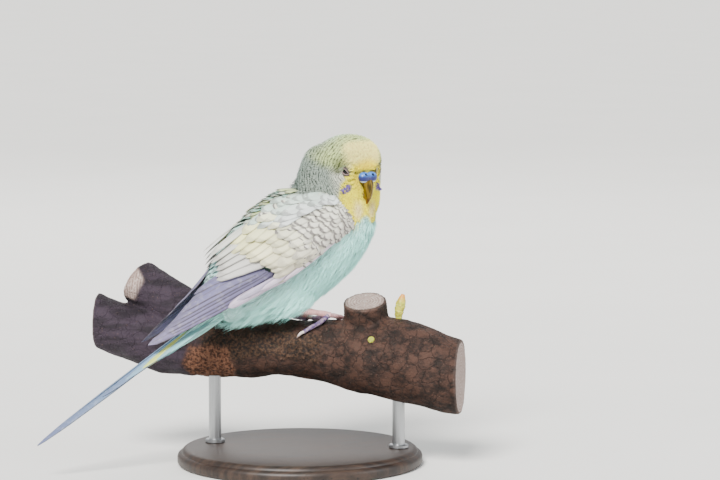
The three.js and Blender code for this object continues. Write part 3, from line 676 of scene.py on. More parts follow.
def plumage(points):
    """Colour and dark bars' strength at each point: skin and coat markings, and painted shade by the eyes."""
    f, l, h = head_place(points)
    tone = {name: np.array(srgb(*value)) for name, value in (
        ("mask", MASK), ("deep", MASK_DEEP), ("lobe", LOBE), ("forehead", FOREHEAD),
        ("crown", CROWN), ("nape", NAPE), ("cheek", CHEEK), ("breast", BREAST), ("shade", BREAST_SHADE),
        ("mantle", MANTLE), ("rump", RUMP), ("patch", PATCH), ("brow", BROW_SHADE))}
    wave = 1.2 * np.sin(points[:, 1] * 0.9) + 0.9 * np.sin(points[:, 2] * 1.1 + 1)
    colour = np.tile(tone["breast"], (len(points), 1))
    x = points[:, 0]
    line = above_axis(points) + wave
    colour = blend(colour, tone["shade"], 0.7 * smoothstep(line, -4, -16))
    behind = smoothstep(line, 4, 9) * smoothstep(x, 16, 10)
    colour = blend(colour, tone["mantle"], behind)
    rump = behind * smoothstep(x, -14, -24)
    colour = blend(colour, tone["rump"], rump)
    brow = CROWN_LINE - 0.032 * np.maximum(h, 0) ** 2
    back_of_head = smoothstep(h, -22, -14)
    turned_nape = 0.85 * smoothstep(l, -10.5, -15)
    nape = back_of_head * np.maximum(smoothstep(f, 1, -11), turned_nape)
    colour = blend(colour, tone["nape"], nape)
    cheek = back_of_head * smoothstep(f, -10, 0) * smoothstep(h, 5, -2) * (1 - turned_nape)
    colour = blend(colour, tone["cheek"], cheek)
    crown = smoothstep(h + 0.4 * f, 0, 5) * (0.25 + 0.75 * smoothstep(f, -8, 3))
    crown = crown * smoothstep(f, -15, -9)
    colour = blend(colour, tone["crown"], crown)
    front = smoothstep(f - brow + 0.3 * wave, -2.8, 1.2)
    front = front * smoothstep(h, -1.5, 0.5) * smoothstep(h, 12.4, 10.6)
    colour = blend(colour, tone["forehead"], front)
    lobes = 1.6 * np.cos(l * 0.52)
    edge = -21.5 + lobes + 0.35 * wave
    width = np.interp(h, *np.array(MASK_WIDTH).T)
    face = smoothstep(np.abs(l) + 0.3 * wave, width + 0.7, width - 1.3)
    face *= smoothstep(h, edge - 1, edge + 1)
    face *= smoothstep(f, 2, 4.5)
    face *= smoothstep(h, 4, 0)
    colour = blend(colour, tone["mask"], face)
    from_lores = points - HEAD_CENTRE - 11.5 * forward + (0, 0, 2.5)
    lores = smoothstep(np.linalg.norm(from_lores, axis=1), 8.5, 4.5)
    colour = blend(colour, tone["deep"], 0.85 * lores)
    pale = smoothstep(np.hypot(np.abs(l) - 4, 0.6 * (h + 17)), 3.8, 0.4) * smoothstep(f, 4, 7)
    colour = blend(colour, tone["lobe"], 0.7 * pale * face)
    patch = on_patch(points)
    colour = blend(colour, tone["patch"], patch)
    near = eye_gap(points)
    bars = smoothstep(h, -24, -17) * (1 - front) * (1 - lores) * (1 - patch)
    bars *= 1 - face * (1 - 0.8 * smoothstep(near, 11, 7) * smoothstep(h, -10, -6.5))
    bars *= 1.05 + 0.1 * crown + 0.2 * smoothstep(f, 0, -8)
    # painted shade over and behind each eye: the plumage darkened to olive and its bars made stronger
    painted_eye_shade = smoothstep(near, 9, 5) * smoothstep(h, -2.8, -0.6) * (1 - front) * smoothstep(f, 1, 4)
    colour = blend(colour, tone["brow"], 0.75 * painted_eye_shade)
    bars = np.clip(bars + 0.5 * painted_eye_shade, 0, 1.3)
    return colour, np.maximum(bars, 0.45 * behind * (1 - rump))


FACE_POINT = head_point(12, 0, -3)
BAR_PITCH = 5.3


def bar_phase(points):
    """Distance that the fine head bars are counted along: away from the bill, and from the eye
    below it."""
    from_bill = np.linalg.norm(points - FACE_POINT, axis=1)
    from_eye = eye_gap(points)
    share = smoothstep(from_eye, 12, 6) * smoothstep(points[:, 2] - HEAD_CENTRE[2], 1, -3)
    return from_bill * (1 - share) + (from_eye + 3) * share


colour, bars = plumage(points)
put_mark(mesh, "plumage", np.c_[colour, np.ones(len(points))], "FLOAT_COLOR")
put_mark(mesh, "bars", bars)
put_mark(mesh, "phase", bar_phase(points))

barring = bpy.data.node_groups.new("head_bars", "ShaderNodeTree")
barring.interface.new_socket("Phase", in_out="INPUT", socket_type="NodeSocketFloat")
barring.interface.new_socket("Bars", in_out="INPUT", socket_type="NodeSocketFloat")
barring.interface.new_socket("Colour", in_out="INPUT", socket_type="NodeSocketColor")
barring.interface.new_socket("Colour", in_out="OUTPUT", socket_type="NodeSocketColor")
add = Nodes(barring)
given = add("NodeGroupInput")
wobble = add.noise(330, 3)
phase = add.math("ADD", given.outputs["Phase"], add.times(wobble, 2.6))
line = add.math("SINE", add.times(phase, BAR_PITCH))
broken = add.level(add.step(add.noise(800, 2), 0.42, 0.58), 0.25, 1.0)
dark = add.times(add.step(line, 0.1, 0.75), add.times(given.outputs["Bars"], broken))
result = add("NodeGroupOutput")
deep = add.mix(1.0, given.outputs["Colour"], srgb(78, 90, 82), "MULTIPLY")
add.feed(result.inputs["Colour"], add.mix(dark, given.outputs["Colour"], deep))


def plumage_material(name, **fixed):
    """Feather colour from the region, and fine bars where they grow."""
    material, add, shader = new_material(name, roughness=0.75, specular_ior_level=0.25,
                                         sheen_weight=0.06, **fixed)
    group = add("ShaderNodeGroup", node_tree=barring)
    add.feed(group.inputs["Phase"], add.mark("phase"))
    add.feed(group.inputs["Bars"], add.mark("bars"))
    add.feed(group.inputs["Colour"], add.mark("plumage", "Color"))
    return material, add, shader, group.outputs["Colour"]


skin_paint, add, shader, colour_out = plumage_material("skin_down")
add.feed(shader.inputs["Base Color"], add.mix(0.25, colour_out, srgb(120, 130, 128)))
bump(add, shader, add.noise(1600, 3), 0.4, 0.0004)
mesh.materials.clear()
mesh.materials.append(skin_paint)
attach(skin, "root")
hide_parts("torso", "neck", "head", "thigh_right", "thigh_left")

# The body feathers
# Small soft feathers that lie back from the bill over head, breast and belly. Each is a fan of
# narrow barbs swept along the skin, so the coat breaks into fine streaks and frayed edges.


def feather_sweep():
    """Sweeps a flat cambered section along each line of a mesh: one feather or barb a line."""
    tree = bpy.data.node_groups.new("feather_sweep", "GeometryNodeTree")
    face = tree.interface
    face.new_socket("Lines", in_out="INPUT", socket_type="NodeSocketGeometry")
    for name, kind, value in (("Sides", "NodeSocketInt", 3), ("Thickness", "NodeSocketFloat", 0.3),
                              ("Camber", "NodeSocketFloat", 0.2)):
        face.new_socket(name, in_out="INPUT", socket_type=kind).default_value = value
    face.new_socket("Finish", in_out="INPUT", socket_type="NodeSocketMaterial")
    face.new_socket("Feathers", in_out="OUTPUT", socket_type="NodeSocketGeometry")
    add = Nodes(tree)
    given = add("NodeGroupInput")
    facing = add("GeometryNodeInputNamedAttribute", {"Name": "facing"}, data_type="FLOAT_VECTOR")
    half = add("GeometryNodeInputNamedAttribute", {"Name": "half"}, data_type="FLOAT")
    curves = add("GeometryNodeMeshToCurve", {"Mesh": given.outputs["Lines"]})
    held = add("GeometryNodeSetCurveNormal", {"Curve": curves.outputs[0],
                                              "Normal": facing.outputs[0]}, mode="FREE")
    section = add("GeometryNodeCurvePrimitiveCircle", {"Resolution": given.outputs["Sides"],
                                                       "Radius": 1.0}, mode="RADIUS")
    where = add("ShaderNodeSeparateXYZ", {0: add("GeometryNodeInputPosition").outputs[0]})
    named = add("GeometryNodeStoreNamedAttribute", {"Geometry": section.outputs["Curve"],
                                                    "Name": "across", "Value": where.outputs["Y"]},
                data_type="FLOAT", domain="POINT")
    thin = add.times(where.outputs["X"], given.outputs["Thickness"])
    bow = add.math("SUBTRACT", 1.0, add.times(where.outputs["Y"], where.outputs["Y"]))
    raised = add.math("ADD", thin, add.times(bow, given.outputs["Camber"]))
    spot = add("ShaderNodeCombineXYZ", {"X": raised, "Y": where.outputs["Y"]})
    flat = add("GeometryNodeSetPosition", {"Geometry": named.outputs[0],
                                           "Position": spot.outputs[0]})
    swept = add("GeometryNodeCurveToMesh", {"Curve": held.outputs[0],
                                            "Profile Curve": flat.outputs[0],
                                            "Scale": half.outputs[0], "Fill Caps": True})
    whole = add("GeometryNodeRealizeInstances", {0: swept.outputs[0]})
    painted = add("GeometryNodeSetMaterial", {"Geometry": whole.outputs[0],
                                              "Material": given.outputs["Finish"]})
    result = add("NodeGroupOutput")
    add.feed(result.inputs["Feathers"], painted.outputs[0])
    return tree


SWEEP = feather_sweep()


def swept_feathers(name, lines, facing, half, marks, finish, sides=3, thickness=0.3, camber=0.2):
    """One object of feathers. lines is feathers x steps x 3; marks are values by name."""
    count, steps, _ = lines.shape
    mesh = bpy.data.meshes.new(name)
    index = np.arange(count * steps).reshape(count, steps)
    edges = np.stack([index[:, :-1], index[:, 1:]], -1).reshape(-1, 2)
    mesh.from_pydata([tuple(p) for p in lines.reshape(-1, 3) * MM], edges.tolist(), [])
    put_mark(mesh, "facing", facing, "FLOAT_VECTOR")
    put_mark(mesh, "half", half * MM)
    marks = {"along": np.broadcast_to(np.linspace(0, 1, steps), (count, steps)), **marks}
    for key, values in marks.items():
        wide = 1 if values.ndim == 2 else values.shape[-1]
        put_mark(mesh, key, values, {1: "FLOAT", 2: "FLOAT2", 4: "FLOAT_COLOR"}[wide])
    made = bpy.data.objects.new(name, mesh)
    scene.collection.objects.link(made)
    sweep = made.modifiers.new("sweep", "NODES")
    sweep.node_group = SWEEP
    given = {"Sides": sides, "Thickness": thickness, "Camber": camber, "Finish": finish}
    for item in SWEEP.interface.items_tree:
        if item.in_out == "INPUT" and item.name in given:
            sweep[item.identifier] = given[item.name]
    mesh = evaluated(made)
    mesh.shade_smooth()
    bake_map(mesh)
    return made


TUFT_PATCH = 0.003


def bake_map(mesh):
    """Lays each feather as a small patch at its root's place on the unwrapped skin."""
    count = len(mesh.vertices)
    root = np.empty(count * 2, np.float32)
    mesh.attributes["root"].data.foreach_get("vector", root)
    along = np.empty(count, np.float32)
    mesh.attributes["along"].data.foreach_get("value", along)
    across = np.empty(count, np.float32)
    mesh.attributes["across"].data.foreach_get("value", across)
    size = np.full(count, TUFT_PATCH, np.float32)
    if "patch" in mesh.attributes:
        mesh.attributes["patch"].data.foreach_get("value", size)
    flat = root.reshape(-1, 2) + size[:, None] * np.stack([across * 0.5, along - 0.5], -1)
    loops = np.empty(len(mesh.loops), np.int32)
    mesh.loops.foreach_get("vertex_index", loops)
    layer = mesh.uv_layers.new(name="OFBake")
    layer.data.foreach_set("uv", flat[loops].astype(np.float32).ravel())


def skin_map(points):
    """The skin unwrapped by its own shape: head and trunk each rolled out round its middle line."""
    f, l, h = head_place(points)
    on_head = h > -16
    turn = np.arctan2(l, f) / (2 * math.pi) + 0.5
    climb = (h + 24) / 40
    axis = BODY_AXIS_TO - BODY_AXIS_FROM
    length = np.linalg.norm(axis)
    axis = axis / length
    away = points - BODY_AXIS_FROM
    run = away @ axis
    off = away - run[:, None] * axis
    up = np.cross(axis, (0, 1, 0))
    roll = np.arctan2(off[:, 1], off @ up) / (2 * math.pi) + 0.5
    head_uv = np.stack([0.02 + 0.96 * turn, 0.62 + 0.36 * np.clip(climb, 0, 1)], -1)
    share = np.clip((run + 24) / (length + 30), 0, 1)
    body_uv = np.stack([0.02 + 0.96 * roll, 0.02 + 0.56 * share], -1)
    return np.where(on_head[:, None], head_uv, body_uv)


def lie(points):
    """The way feathers lie: back from the bill on the head, then down the body to the tail."""
    from_bill = points - FACE_POINT
    from_bill /= np.linalg.norm(from_bill, axis=1)[:, None] + 1e-9
    axis = (BODY_AXIS_TO - BODY_AXIS_FROM) / np.linalg.norm(BODY_AXIS_TO - BODY_AXIS_FROM)
    down = axis + np.array((0, 0, -0.25))
    far = smoothstep(np.linalg.norm(points - HEAD_CENTRE, axis=1), 14, 27)[:, None]
    return from_bill * (1 - far) + down * far


def spread_roots(spacing, keep, seed):
    """Even random roots on the skin: spacing(points) apart, only where keep(points)."""
    mesh = skin.data
    mesh.calc_loop_triangles()
    corners = np.empty(len(mesh.loop_triangles) * 3, np.int32)
    mesh.loop_triangles.foreach_get("vertices", corners)
    corners = corners.reshape(-1, 3)
    points = get_points(mesh)
    normals = get_normals(mesh)
    a, b, c = [points[corners[:, i]] for i in range(3)]
    area = np.linalg.norm(np.cross(b - a, c - a), axis=1) / 2
    middle = (a + b + c) / 3
    wanted = area * keep(middle) / spacing(middle) ** 2
    rng = np.random.default_rng(seed)
    tries = rng.poisson(2.2 * wanted)
    pick = np.repeat(np.arange(len(area)), tries)
    u, v = rng.random((2, len(pick)))
    flip = u + v > 1
    u[flip], v[flip] = 1 - u[flip], 1 - v[flip]
    spots = a[pick] + u[:, None] * (b[pick] - a[pick]) + v[:, None] * (c[pick] - a[pick])
    order = rng.permutation(len(spots))
    spots = spots[order]
    face_normals = normals[corners[pick[order], 0]]
    gap = 0.72 * spacing(spots)
    cell = gap.max()
    taken = {}
    chosen = []
    for i, (spot, room) in enumerate(zip(spots, gap)):
        key = tuple((spot // cell).astype(int))
        close = False
        for dx in (-1, 0, 1):
            for dy in (-1, 0, 1):
                for dz in (-1, 0, 1):
                    for other in taken.get((key[0] + dx, key[1] + dy, key[2] + dz), ()):
                        away = spots[other] - spot
                        if away @ away < room * room:
                            close = True
                            break
        if not close:
            taken.setdefault(key, []).append(i)
            chosen.append(i)
    return spots[chosen], face_normals[chosen]


def follow_skin(roots, normals, length, turn, steps, lift, way=lie, loose=0.0):
    """Lines that run from the roots along the lie of the coat. loose lets them leave the skin."""
    lines = np.empty((len(roots), steps, 3))
    facing = np.empty_like(lines)
    here = roots.copy()
    normal = normals.copy()
    for k in range(steps):
        if k:
            free = loose * k / (steps - 1)
            wish = way(here)
            wish = wish / np.linalg.norm(wish, axis=1)[:, None]
            flat = wish - (wish * normal).sum(1)[:, None] * normal
            flat /= np.linalg.norm(flat, axis=1)[:, None] + 1e-9
            side = np.cross(normal, flat)
            step = flat * np.cos(turn)[:, None] + side * np.sin(turn)[:, None]
            step = step * (1 - free) + wish * free
            here = here + step * (length / (steps - 1))[:, None]
            for i, spot in enumerate(here):
                found, direction, _, _ = skin_tree.find_nearest(Vector(spot))
                found = np.array(found)
                direction = np.array(direction)
                out = max((spot - found) @ direction, 0)
                here[i] = found + loose * out * direction
                normal[i] = direction
        lines[:, k] = here + normal * lift(k / (steps - 1))[:, None]
        facing[:, k] = normal
    return lines, facing


BARK_CLEAR = 1.5


def off_bark(lines):
    """Lifts what would sink into the branch up to the bark, so loose feathers rest on it."""
    points = lines.reshape(-1, 3)
    middle, radius = branch_at((points - BRANCH_AT) @ branch_along)
    away = points - middle
    gap = np.linalg.norm(away, axis=1)
    reach = np.maximum(gap, radius + BARK_CLEAR)
    return (middle + away * (reach / gap)[:, None]).reshape(lines.shape)


def coat_marks(shape, colour, tint, roots, bars=0.0, phase=0.0):
    """Marks at each point of barbs. Tint and root are given once for each barb."""
    colour = np.broadcast_to(colour, (*shape, 3))
    return {"plumage": np.concatenate([colour, np.ones((*shape, 1))], -1),
            "bars": np.broadcast_to(bars, shape), "phase": np.broadcast_to(phase, shape),
            "tint": np.broadcast_to(tint[:, None], shape),
            "root": np.broadcast_to(skin_map(roots)[:, None], (*shape, 2))}


def coat(name, roots, normals, length, barbs, fan, half, rise, seed, steps=4, way=lie, loose=0.0,
         tone=None):
    """Feathers at the roots, each a fan of barbs, as one object."""
    rng = np.random.default_rng(seed)
    count = len(roots)
    half, rise = np.broadcast_to(half, count), np.broadcast_to(rise, count)
    many = np.repeat(np.arange(count), barbs)
    place = np.tile(np.linspace(-1, 1, barbs), count)
    turn = place * fan + rng.normal(0, 0.07, len(many)) + np.repeat(rng.normal(0, 0.1, count), barbs)
    long = np.repeat(length * rng.uniform(0.8, 1.2, count), barbs)
    long = long * (1 - 0.2 * np.abs(place)) * rng.uniform(0.88, 1.12, len(many))
    high = rise[many] * rng.uniform(0.6, 1.4, len(many))
    lines, facing = follow_skin(roots[many], normals[many], long, turn, steps,
                                lambda t: -0.25 + (high + 0.25) * t ** 0.8, way, loose)
    if loose:
        lines = off_bark(lines)
    t = np.linspace(0, 1, steps)
    taper = np.interp(t, [0, 0.35, 0.75, 1], [0.75, 1, 0.8, 0.08])
    width = (half[many] * rng.uniform(0.8, 1.2, len(many)))[:, None] * taper
    if tone:
        colour = srgb(*tone)
    else:
        tips = lines[:, -1].reshape(count, barbs, 3).mean(1)
        colour = plumage(roots + (tips - roots) * 0.6)[0][many][:, None]
    tint = np.repeat(rng.normal(0, 1, count), barbs) * 0.7 + rng.normal(0, 1, len(many)) * 0.4
    flat = lines.reshape(-1, 3)
    shape = lines.shape[:2]
    shift = np.repeat(rng.normal(0, 0.1, count), barbs)[:, None]
    marks = coat_marks(shape, colour, tint, roots[many], plumage(flat)[1].reshape(shape),
                       bar_phase(flat).reshape(shape) + shift)
    made = swept_feathers(name, lines, facing, width, marks, barb_paint, thickness=0.22, camber=0.12)
    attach(made, "root")
    return made


barb_paint, add, shader, colour_out = plumage_material("body_feathers")
# random tint for each barb, times painted shade darker towards the root, where feathers overlap
tone = add.level(add.mark("tint"), 0.8, 1.2, -2.0, 2.0)
depth = add.level(add.mark("along"), 0.74, 1.12, 0.0, 0.75)
light = add.grey(add.times(tone, depth))
add.feed(shader.inputs["Base Color"], add.mix(1.0, colour_out, light, "MULTIPLY"))


def under_wing(points):
    """1 where the folded wings cover the skin."""
    x, y, _ = points.T
    line = above_axis(points)
    return (smoothstep(np.abs(y), 8, 11) * smoothstep(line, -9, -4) * smoothstep(line, 26, 20)
            * smoothstep(x, 12, 6))


def near_bill(points):
    """1 where the cere and the bill cover the skin."""
    f, l, h = head_place(points)
    width = 1.5 + 1.9 * smoothstep(h, -8, -5)
    return (smoothstep(f, 8.5, 9.5) * smoothstep(np.abs(l), width, width - 0.8)
            * smoothstep(h, -13, -12) * smoothstep(h, -0.6, -1.4))


def on_face(points):
    f, _, h = head_place(points)
    return smoothstep(f, 0, 4) * smoothstep(h, -23, -21)


def on_nape(points):
    f, _, h = head_place(points)
    return smoothstep(f, -6, -11) * smoothstep(h, 5, -4) * smoothstep(points[:, 0], 24, 16)


def head_share(points):
    return smoothstep(np.linalg.norm(points - HEAD_CENTRE - (0, 0, -2), axis=1), 25, 18)


def belly_share(points):
    """1 on the loose feathers of the lower belly, the flanks, the thighs and the vent."""
    return smoothstep(above_axis(points), -8, -14) * smoothstep(points[:, 2], 86, 72)


def hang(points):
    return np.tile((-0.72, 0.0, -0.69), (len(points), 1))


def even(gap):
    """A spacing that is the same all over."""
    return lambda points: np.full(len(points), gap)


def in_parts(count, parts):
    """Slices that split a coat into pieces of like size."""
    edges = np.linspace(0, count, parts + 1).astype(int)
    return [(chr(ord("a") + i), slice(edges[i], edges[i + 1])) for i in range(parts)]


FACE_SPACING, MORE_ON_HEAD = 0.54, 0.26
BODY_SPACING = 1.15
WISP_SPACING = 1.9
LOCK_SPACING = 3.4
LID_EDGE = (4.2, 3.7)
roots, root_normals = spread_roots(
    lambda p: FACE_SPACING + MORE_ON_HEAD * (1 - on_face(p)),
    lambda p: (head_share(p) > 0.5) * (smoothstep(eye_gap(p), *LID_EDGE) < 0.5) * (near_bill(p) < 0.5),
    seed=11)
nape = on_nape(roots)
size = 1.6 + 2.0 * (1 - on_face(roots)) + 2.4 * nape
rise = COAT_ON_HEAD + 0.3 * (1 - on_face(roots)) + 1.4 * nape
for part, chosen in in_parts(len(roots), 2):
    coat("head_feathers_" + part, roots[chosen], root_normals[chosen], size[chosen], barbs=4, fan=0.34,
         half=0.15 + 0.05 * nape[chosen], rise=rise[chosen], seed=12)
roots, root_normals = spread_roots(
    even(BODY_SPACING), lambda p: (head_share(p) <= 0.5) * (under_wing(p) < 0.5), seed=21)
belly = belly_share(roots)
size = 6.0 + 2.5 * belly
for part, chosen in in_parts(len(roots), 3):
    coat("body_feathers_" + part, roots[chosen], root_normals[chosen], size[chosen], barbs=6, fan=0.34,
         half=0.22, rise=COAT_ON_BODY + 0.4 * belly[chosen], seed=22)
roots, root_normals = spread_roots(
    even(WISP_SPACING), lambda p: (head_share(p) <= 0.5) * (belly_share(p) > 0.5), seed=31)
low = smoothstep(roots[:, 2], 72, 62)
coat("belly_wisps", roots, root_normals, 8.5 + 4.5 * low, barbs=7, fan=0.28, half=0.16,
     rise=1.6 + 0.8 * low, seed=32, steps=5, way=hang, loose=0.75)
roots, root_normals = spread_roots(
    even(LOCK_SPACING), lambda p: (head_share(p) <= 0.5) * (belly_share(p) > 0.6), seed=33)
coat("belly_locks", roots, root_normals, 12.5, barbs=12, fan=0.1, half=0.2, rise=1.6, seed=34,
     steps=6, way=hang, loose=0.9)

# The eyes
# Dark moist eyeballs behind two thin bare lids, half closed over a slanting almond slit. The
# lids have a pale beaded rim and fine creases, and pass under the feathers all round.
EYE_RADIUS = 2.95
EYE_OUT = (0.22, 0.97, 0.08)
EYE_BACK = (-0.8, 0.2, 0.5)
SLIT = (2.15, 0.72)
LID_REACH = 4.8
# share of the way from the slit to the outer edge, distance from the middle of the eye
LID_ROWS = [(0.05, 2.75), (0.0, 2.97), (-0.01, 3.2), (0.0, 3.4), (0.03, 3.5), (0.07, 3.5), (0.11, 3.4),
            (0.15, 3.3), (0.2, 3.38), (0.25, 3.31), (0.31, 3.4), (0.37, 3.33), (0.44, 3.41),
            (0.52, 3.35), (0.62, 3.36), (0.75, 3.25), (1.0, 2.9), (0.8, 2.7), (0.4, 2.65)]
EYE_STEPS = 64
EYE_ROWS = 40
FRINGE_BARBS = 300
FRINGE_STEPS = 4


def head_way(f, l, h):
    """A way or a length given forward, left and up of the head."""
    return f * forward + l * leftward + np.array((0, 0, h))


def eye_axes(side):
    """Outward, long and short directions of the slit of one eye."""
    out = head_way(EYE_OUT[0], side * EYE_OUT[1], EYE_OUT[2])
    out = out / np.linalg.norm(out)
    long = head_way(EYE_BACK[0], side * EYE_BACK[1], EYE_BACK[2])
    long = long - (long @ out) * out
    long = long / np.linalg.norm(long)
    return out, long, np.cross(out, long)


def on_eye(side, place, radius):
    """Points over the eyeball: place is two arcs in millimetres along and across the slit."""
    out, long, third = eye_axes(side)
    reach = np.linalg.norm(place, axis=-1, keepdims=True) + 1e-9
    turn = reach / EYE_RADIUS
    round_way = (place[..., :1] * long + place[..., 1:] * third) / reach
    return EYE[side] + radius * (np.cos(turn) * out + np.sin(turn) * round_way)


def band_mesh(rings):
    """Points and faces of rings joined in a loop, the last to the first."""
    rows, count, _ = rings.shape
    r, i = np.meshgrid(np.arange(rows), np.arange(count), indexing="ij")
    below, beside = (r + 1) % rows * count, (i + 1) % count
    quads = np.stack([r * count + i, r * count + beside, below + beside, below + i], -1)
    return rings.reshape(-1, 3), [tuple(q) for q in quads.reshape(-1, 4)]


eye_gloss, add, shader = new_material("eye_surface", roughness=0.14, specular_ior_level=0.2,
                                      coat_weight=0.25, coat_roughness=0.05)
turn_mark = add.mark("turn")
fibre = add.noise(1800, 3)
iris = add.mix(fibre, srgb(40, 30, 28), srgb(86, 70, 62))
shade = add.two_tone(turn_mark, 1.2, 1.32, srgb(3, 2, 3), iris)
shade = add.two_tone(turn_mark, 1.8, 1.95, shade, srgb(24, 20, 22))
add.feed(shader.inputs["Base Color"], shade)
lid_skin, add, shader = new_material("lid_skin", roughness=0.6)
share_mark = add.mark("share")
crease = add.step(add.noise(1500, 4), 0.4, 0.62)
shade = add.mix(crease, srgb(34, 29, 26), srgb(70, 60, 53))
shade = add.two_tone(share_mark, 0.075, 0.045, shade, srgb(130, 111, 108))
shade = add.two_tone(share_mark, 0.004, -0.008, shade, srgb(84, 66, 70))
shade = add.two_tone(share_mark, 0.45, 0.8, shade, srgb(170, 166, 120))
add.feed(shader.inputs["Base Color"], shade)
bump(add, shader, crease, 0.5, 0.00012)
for side, hand in ((-1, "right"), (1, "left")):
    round_turn = np.linspace(0, 2 * math.pi, EYE_STEPS, endpoint=False)
    spoke = np.stack([np.cos(round_turn), np.sin(round_turn)], -1)
    arcs = np.linspace(0.06, math.pi * EYE_RADIUS - 0.06, EYE_ROWS)
    rings = on_eye(side, arcs[:, None, None] * spoke, EYE_RADIUS)
    eyeball = piece("eyeball_" + hand, *rings_to_mesh(rings), eye_gloss)
    put_mark(eyeball.data, "turn", np.repeat(arcs, EYE_STEPS))
    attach(eyeball, "root")
    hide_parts("eye_" + hand)
    slit = spoke * SLIT * np.stack([np.ones(EYE_STEPS), np.abs(spoke[:, 1]) ** 0.35], -1)
    share, radius = np.array(LID_ROWS).T
    place = slit * (1 - share[:, None, None]) + LID_REACH * spoke * share[:, None, None]
    ripple = 0.03 * np.sin(9 * round_turn) * np.sin(share * 14)[:, None] * (share > 0.12)[:, None]
    rings = on_eye(side, place, (radius[:, None] + ripple)[..., None])
    lids = piece("lids_" + hand, *band_mesh(rings), lid_skin)
    put_mark(lids.data, "share", np.repeat(share, EYE_STEPS))
    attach(lids, "root")
    rng = np.random.default_rng(50 + side)
    where = rng.uniform(0, 2 * math.pi, FRINGE_BARBS)
    start = rng.uniform(2.4, 3.7, FRINGE_BARBS) - 0.85 * np.abs(np.sin(where))
    t = np.linspace(0, 1, FRINGE_STEPS)
    reach = start[:, None] + rng.uniform(1.0, 1.7, FRINGE_BARBS)[:, None] * t
    place = np.stack([np.cos(where)[:, None] * reach, np.sin(where)[:, None] * reach], -1)
    lines = on_eye(side, place, (3.25 + 0.75 * t)[None, :, None])
    facing = (lines - EYE[side]) / np.linalg.norm(lines - EYE[side], axis=-1, keepdims=True)
    colour, _ = plumage(lines[:, -1] + 1.5 * facing[:, -1])
    shape = lines.shape[:2]
    marks = coat_marks(shape, colour[:, None], rng.normal(0, 1, FRINGE_BARBS), lines[:, 0],
                       0.5 * (lines[..., 2] > EYE[side][2]), bar_phase(lines.reshape(-1, 3)).reshape(shape))
    width = np.full(FRINGE_BARBS, 0.13)[:, None] * np.interp(t, [0, 0.4, 1], [0.8, 1, 0.1])
    fringe = swept_feathers("eye_fringe_" + hand, lines, facing, width, marks, barb_paint, camber=0.1)
    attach(fringe, "root")

# The cere
# A bare waxy swelling in two lobes over the root of the bill, blue, pale along its lower edge,
# each lobe with a round nostril that has a raised rim.
CERE_LOBE = ((11.8, 1.95, -3.25), (2.1, 2.55, 2.3))
CERE_BRIDGE = ((11.7, 0, -3.5), (2.0, 2.6, 1.9))
NOSTRIL = (13.7, 1.75, -1.7)
NOSTRIL_RIM, NOSTRIL_DEPTH = 0.14, 1.1
CERE_VOXEL = 0.2


def blob(place, radii, steps=32):
    """Rings of an egg shape that lies along the head's own directions."""
    turn = np.linspace(0.03, math.pi - 0.03, steps)[:, None, None]
    spin = np.linspace(0, 2 * math.pi, 2 * steps, endpoint=False)[None, :, None]
    return (HEAD_CENTRE + head_way(*place) + radii[2] * np.cos(turn) * UP
            + radii[0] * np.sin(turn) * np.cos(spin) * forward
            + radii[1] * np.sin(turn) * np.sin(spin) * leftward)


def several(shells):
    """Points and faces of several closed shells of rings in one mesh."""
    points = np.empty((0, 3))
    faces = []
    for rings in shells:
        more, new_faces = rings_to_mesh(rings, len(points))
        points = np.concatenate([points, more])
        faces += new_faces
    return points, faces


cere_skin, add, shader = new_material("cere_wax", roughness=0.36, coat_weight=0.2,
                                      coat_roughness=0.2)
height = add.mark("height")
pores = add.noise(2600, 3)
cloud = add.noise(420, 3)
shade = add.mix(add.step(add.math("ADD", height, add.times(cloud, 0.8)), -3.1, -0.9),
                srgb(4, 16, 92), srgb(56, 122, 208))
shade = add.two_tone(height, -4.5, -4.95, shade, srgb(196, 210, 232))
shade = add.mix(add.mark("nostril"), shade, srgb(6, 7, 12))
add.feed(shader.inputs["Base Color"], shade)
bump(add, shader, pores, 0.2, 0.0001)
(lobe_f, lobe_l, lobe_h), lobe_size = CERE_LOBE
lobes = [blob((lobe_f, side * lobe_l, lobe_h), lobe_size) for side in (-1, 1)]
cere = piece("cere_lobes", *several([*lobes, blob(*CERE_BRIDGE)]), cere_skin)
mesh = remeshed(cere, CERE_VOXEL, 14)
points = get_points(mesh)
normals = get_normals(mesh)
pit = np.zeros(len(points))
for side in (-1, 1):
    spot = HEAD_CENTRE + head_way(NOSTRIL[0], side * NOSTRIL[1], NOSTRIL[2])
    spot = points[np.argmin(np.linalg.norm(points - spot, axis=1))].copy()
    gap = np.linalg.norm(points - spot, axis=1)
    pit = np.maximum(pit, smoothstep(gap, 0.85, 0.6))
    rim = NOSTRIL_RIM * np.exp(-((gap - 0.95) / 0.3) ** 2)
    points += normals * (rim - NOSTRIL_DEPTH * smoothstep(gap, 0.9, 0.4))[:, None]
set_points(mesh, points)
put_mark(mesh, "height", head_place(points)[2])
put_mark(mesh, "nostril", pit)
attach(cere, "root")
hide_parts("cere")

# The bill
# Olive-gold horn: a hooked upper half that comes down from under the cere, with streaks along
# it and a blunt ridge, over a short lower half that shows only at the sides.
# forward, up, half width and half depth, from the root of each half to its tip
UPPER_BILL = [(9, -3.5, 3.3, 2.6), (11.2, -5.4, 2.9, 2.4), (12.2, -8, 2.15, 1.9),
              (12.1, -11, 1.55, 1.4), (11.2, -14.3, 0.3, 0.35)]
LOWER_BILL = [(7.6, -9, 1.5, 1.6), (8.6, -10.4, 1.3, 1.4), (9.6, -11.6, 1.0, 1.0),
              (10.3, -12.4, 0.5, 0.4)]
BILL_SIDES = 56


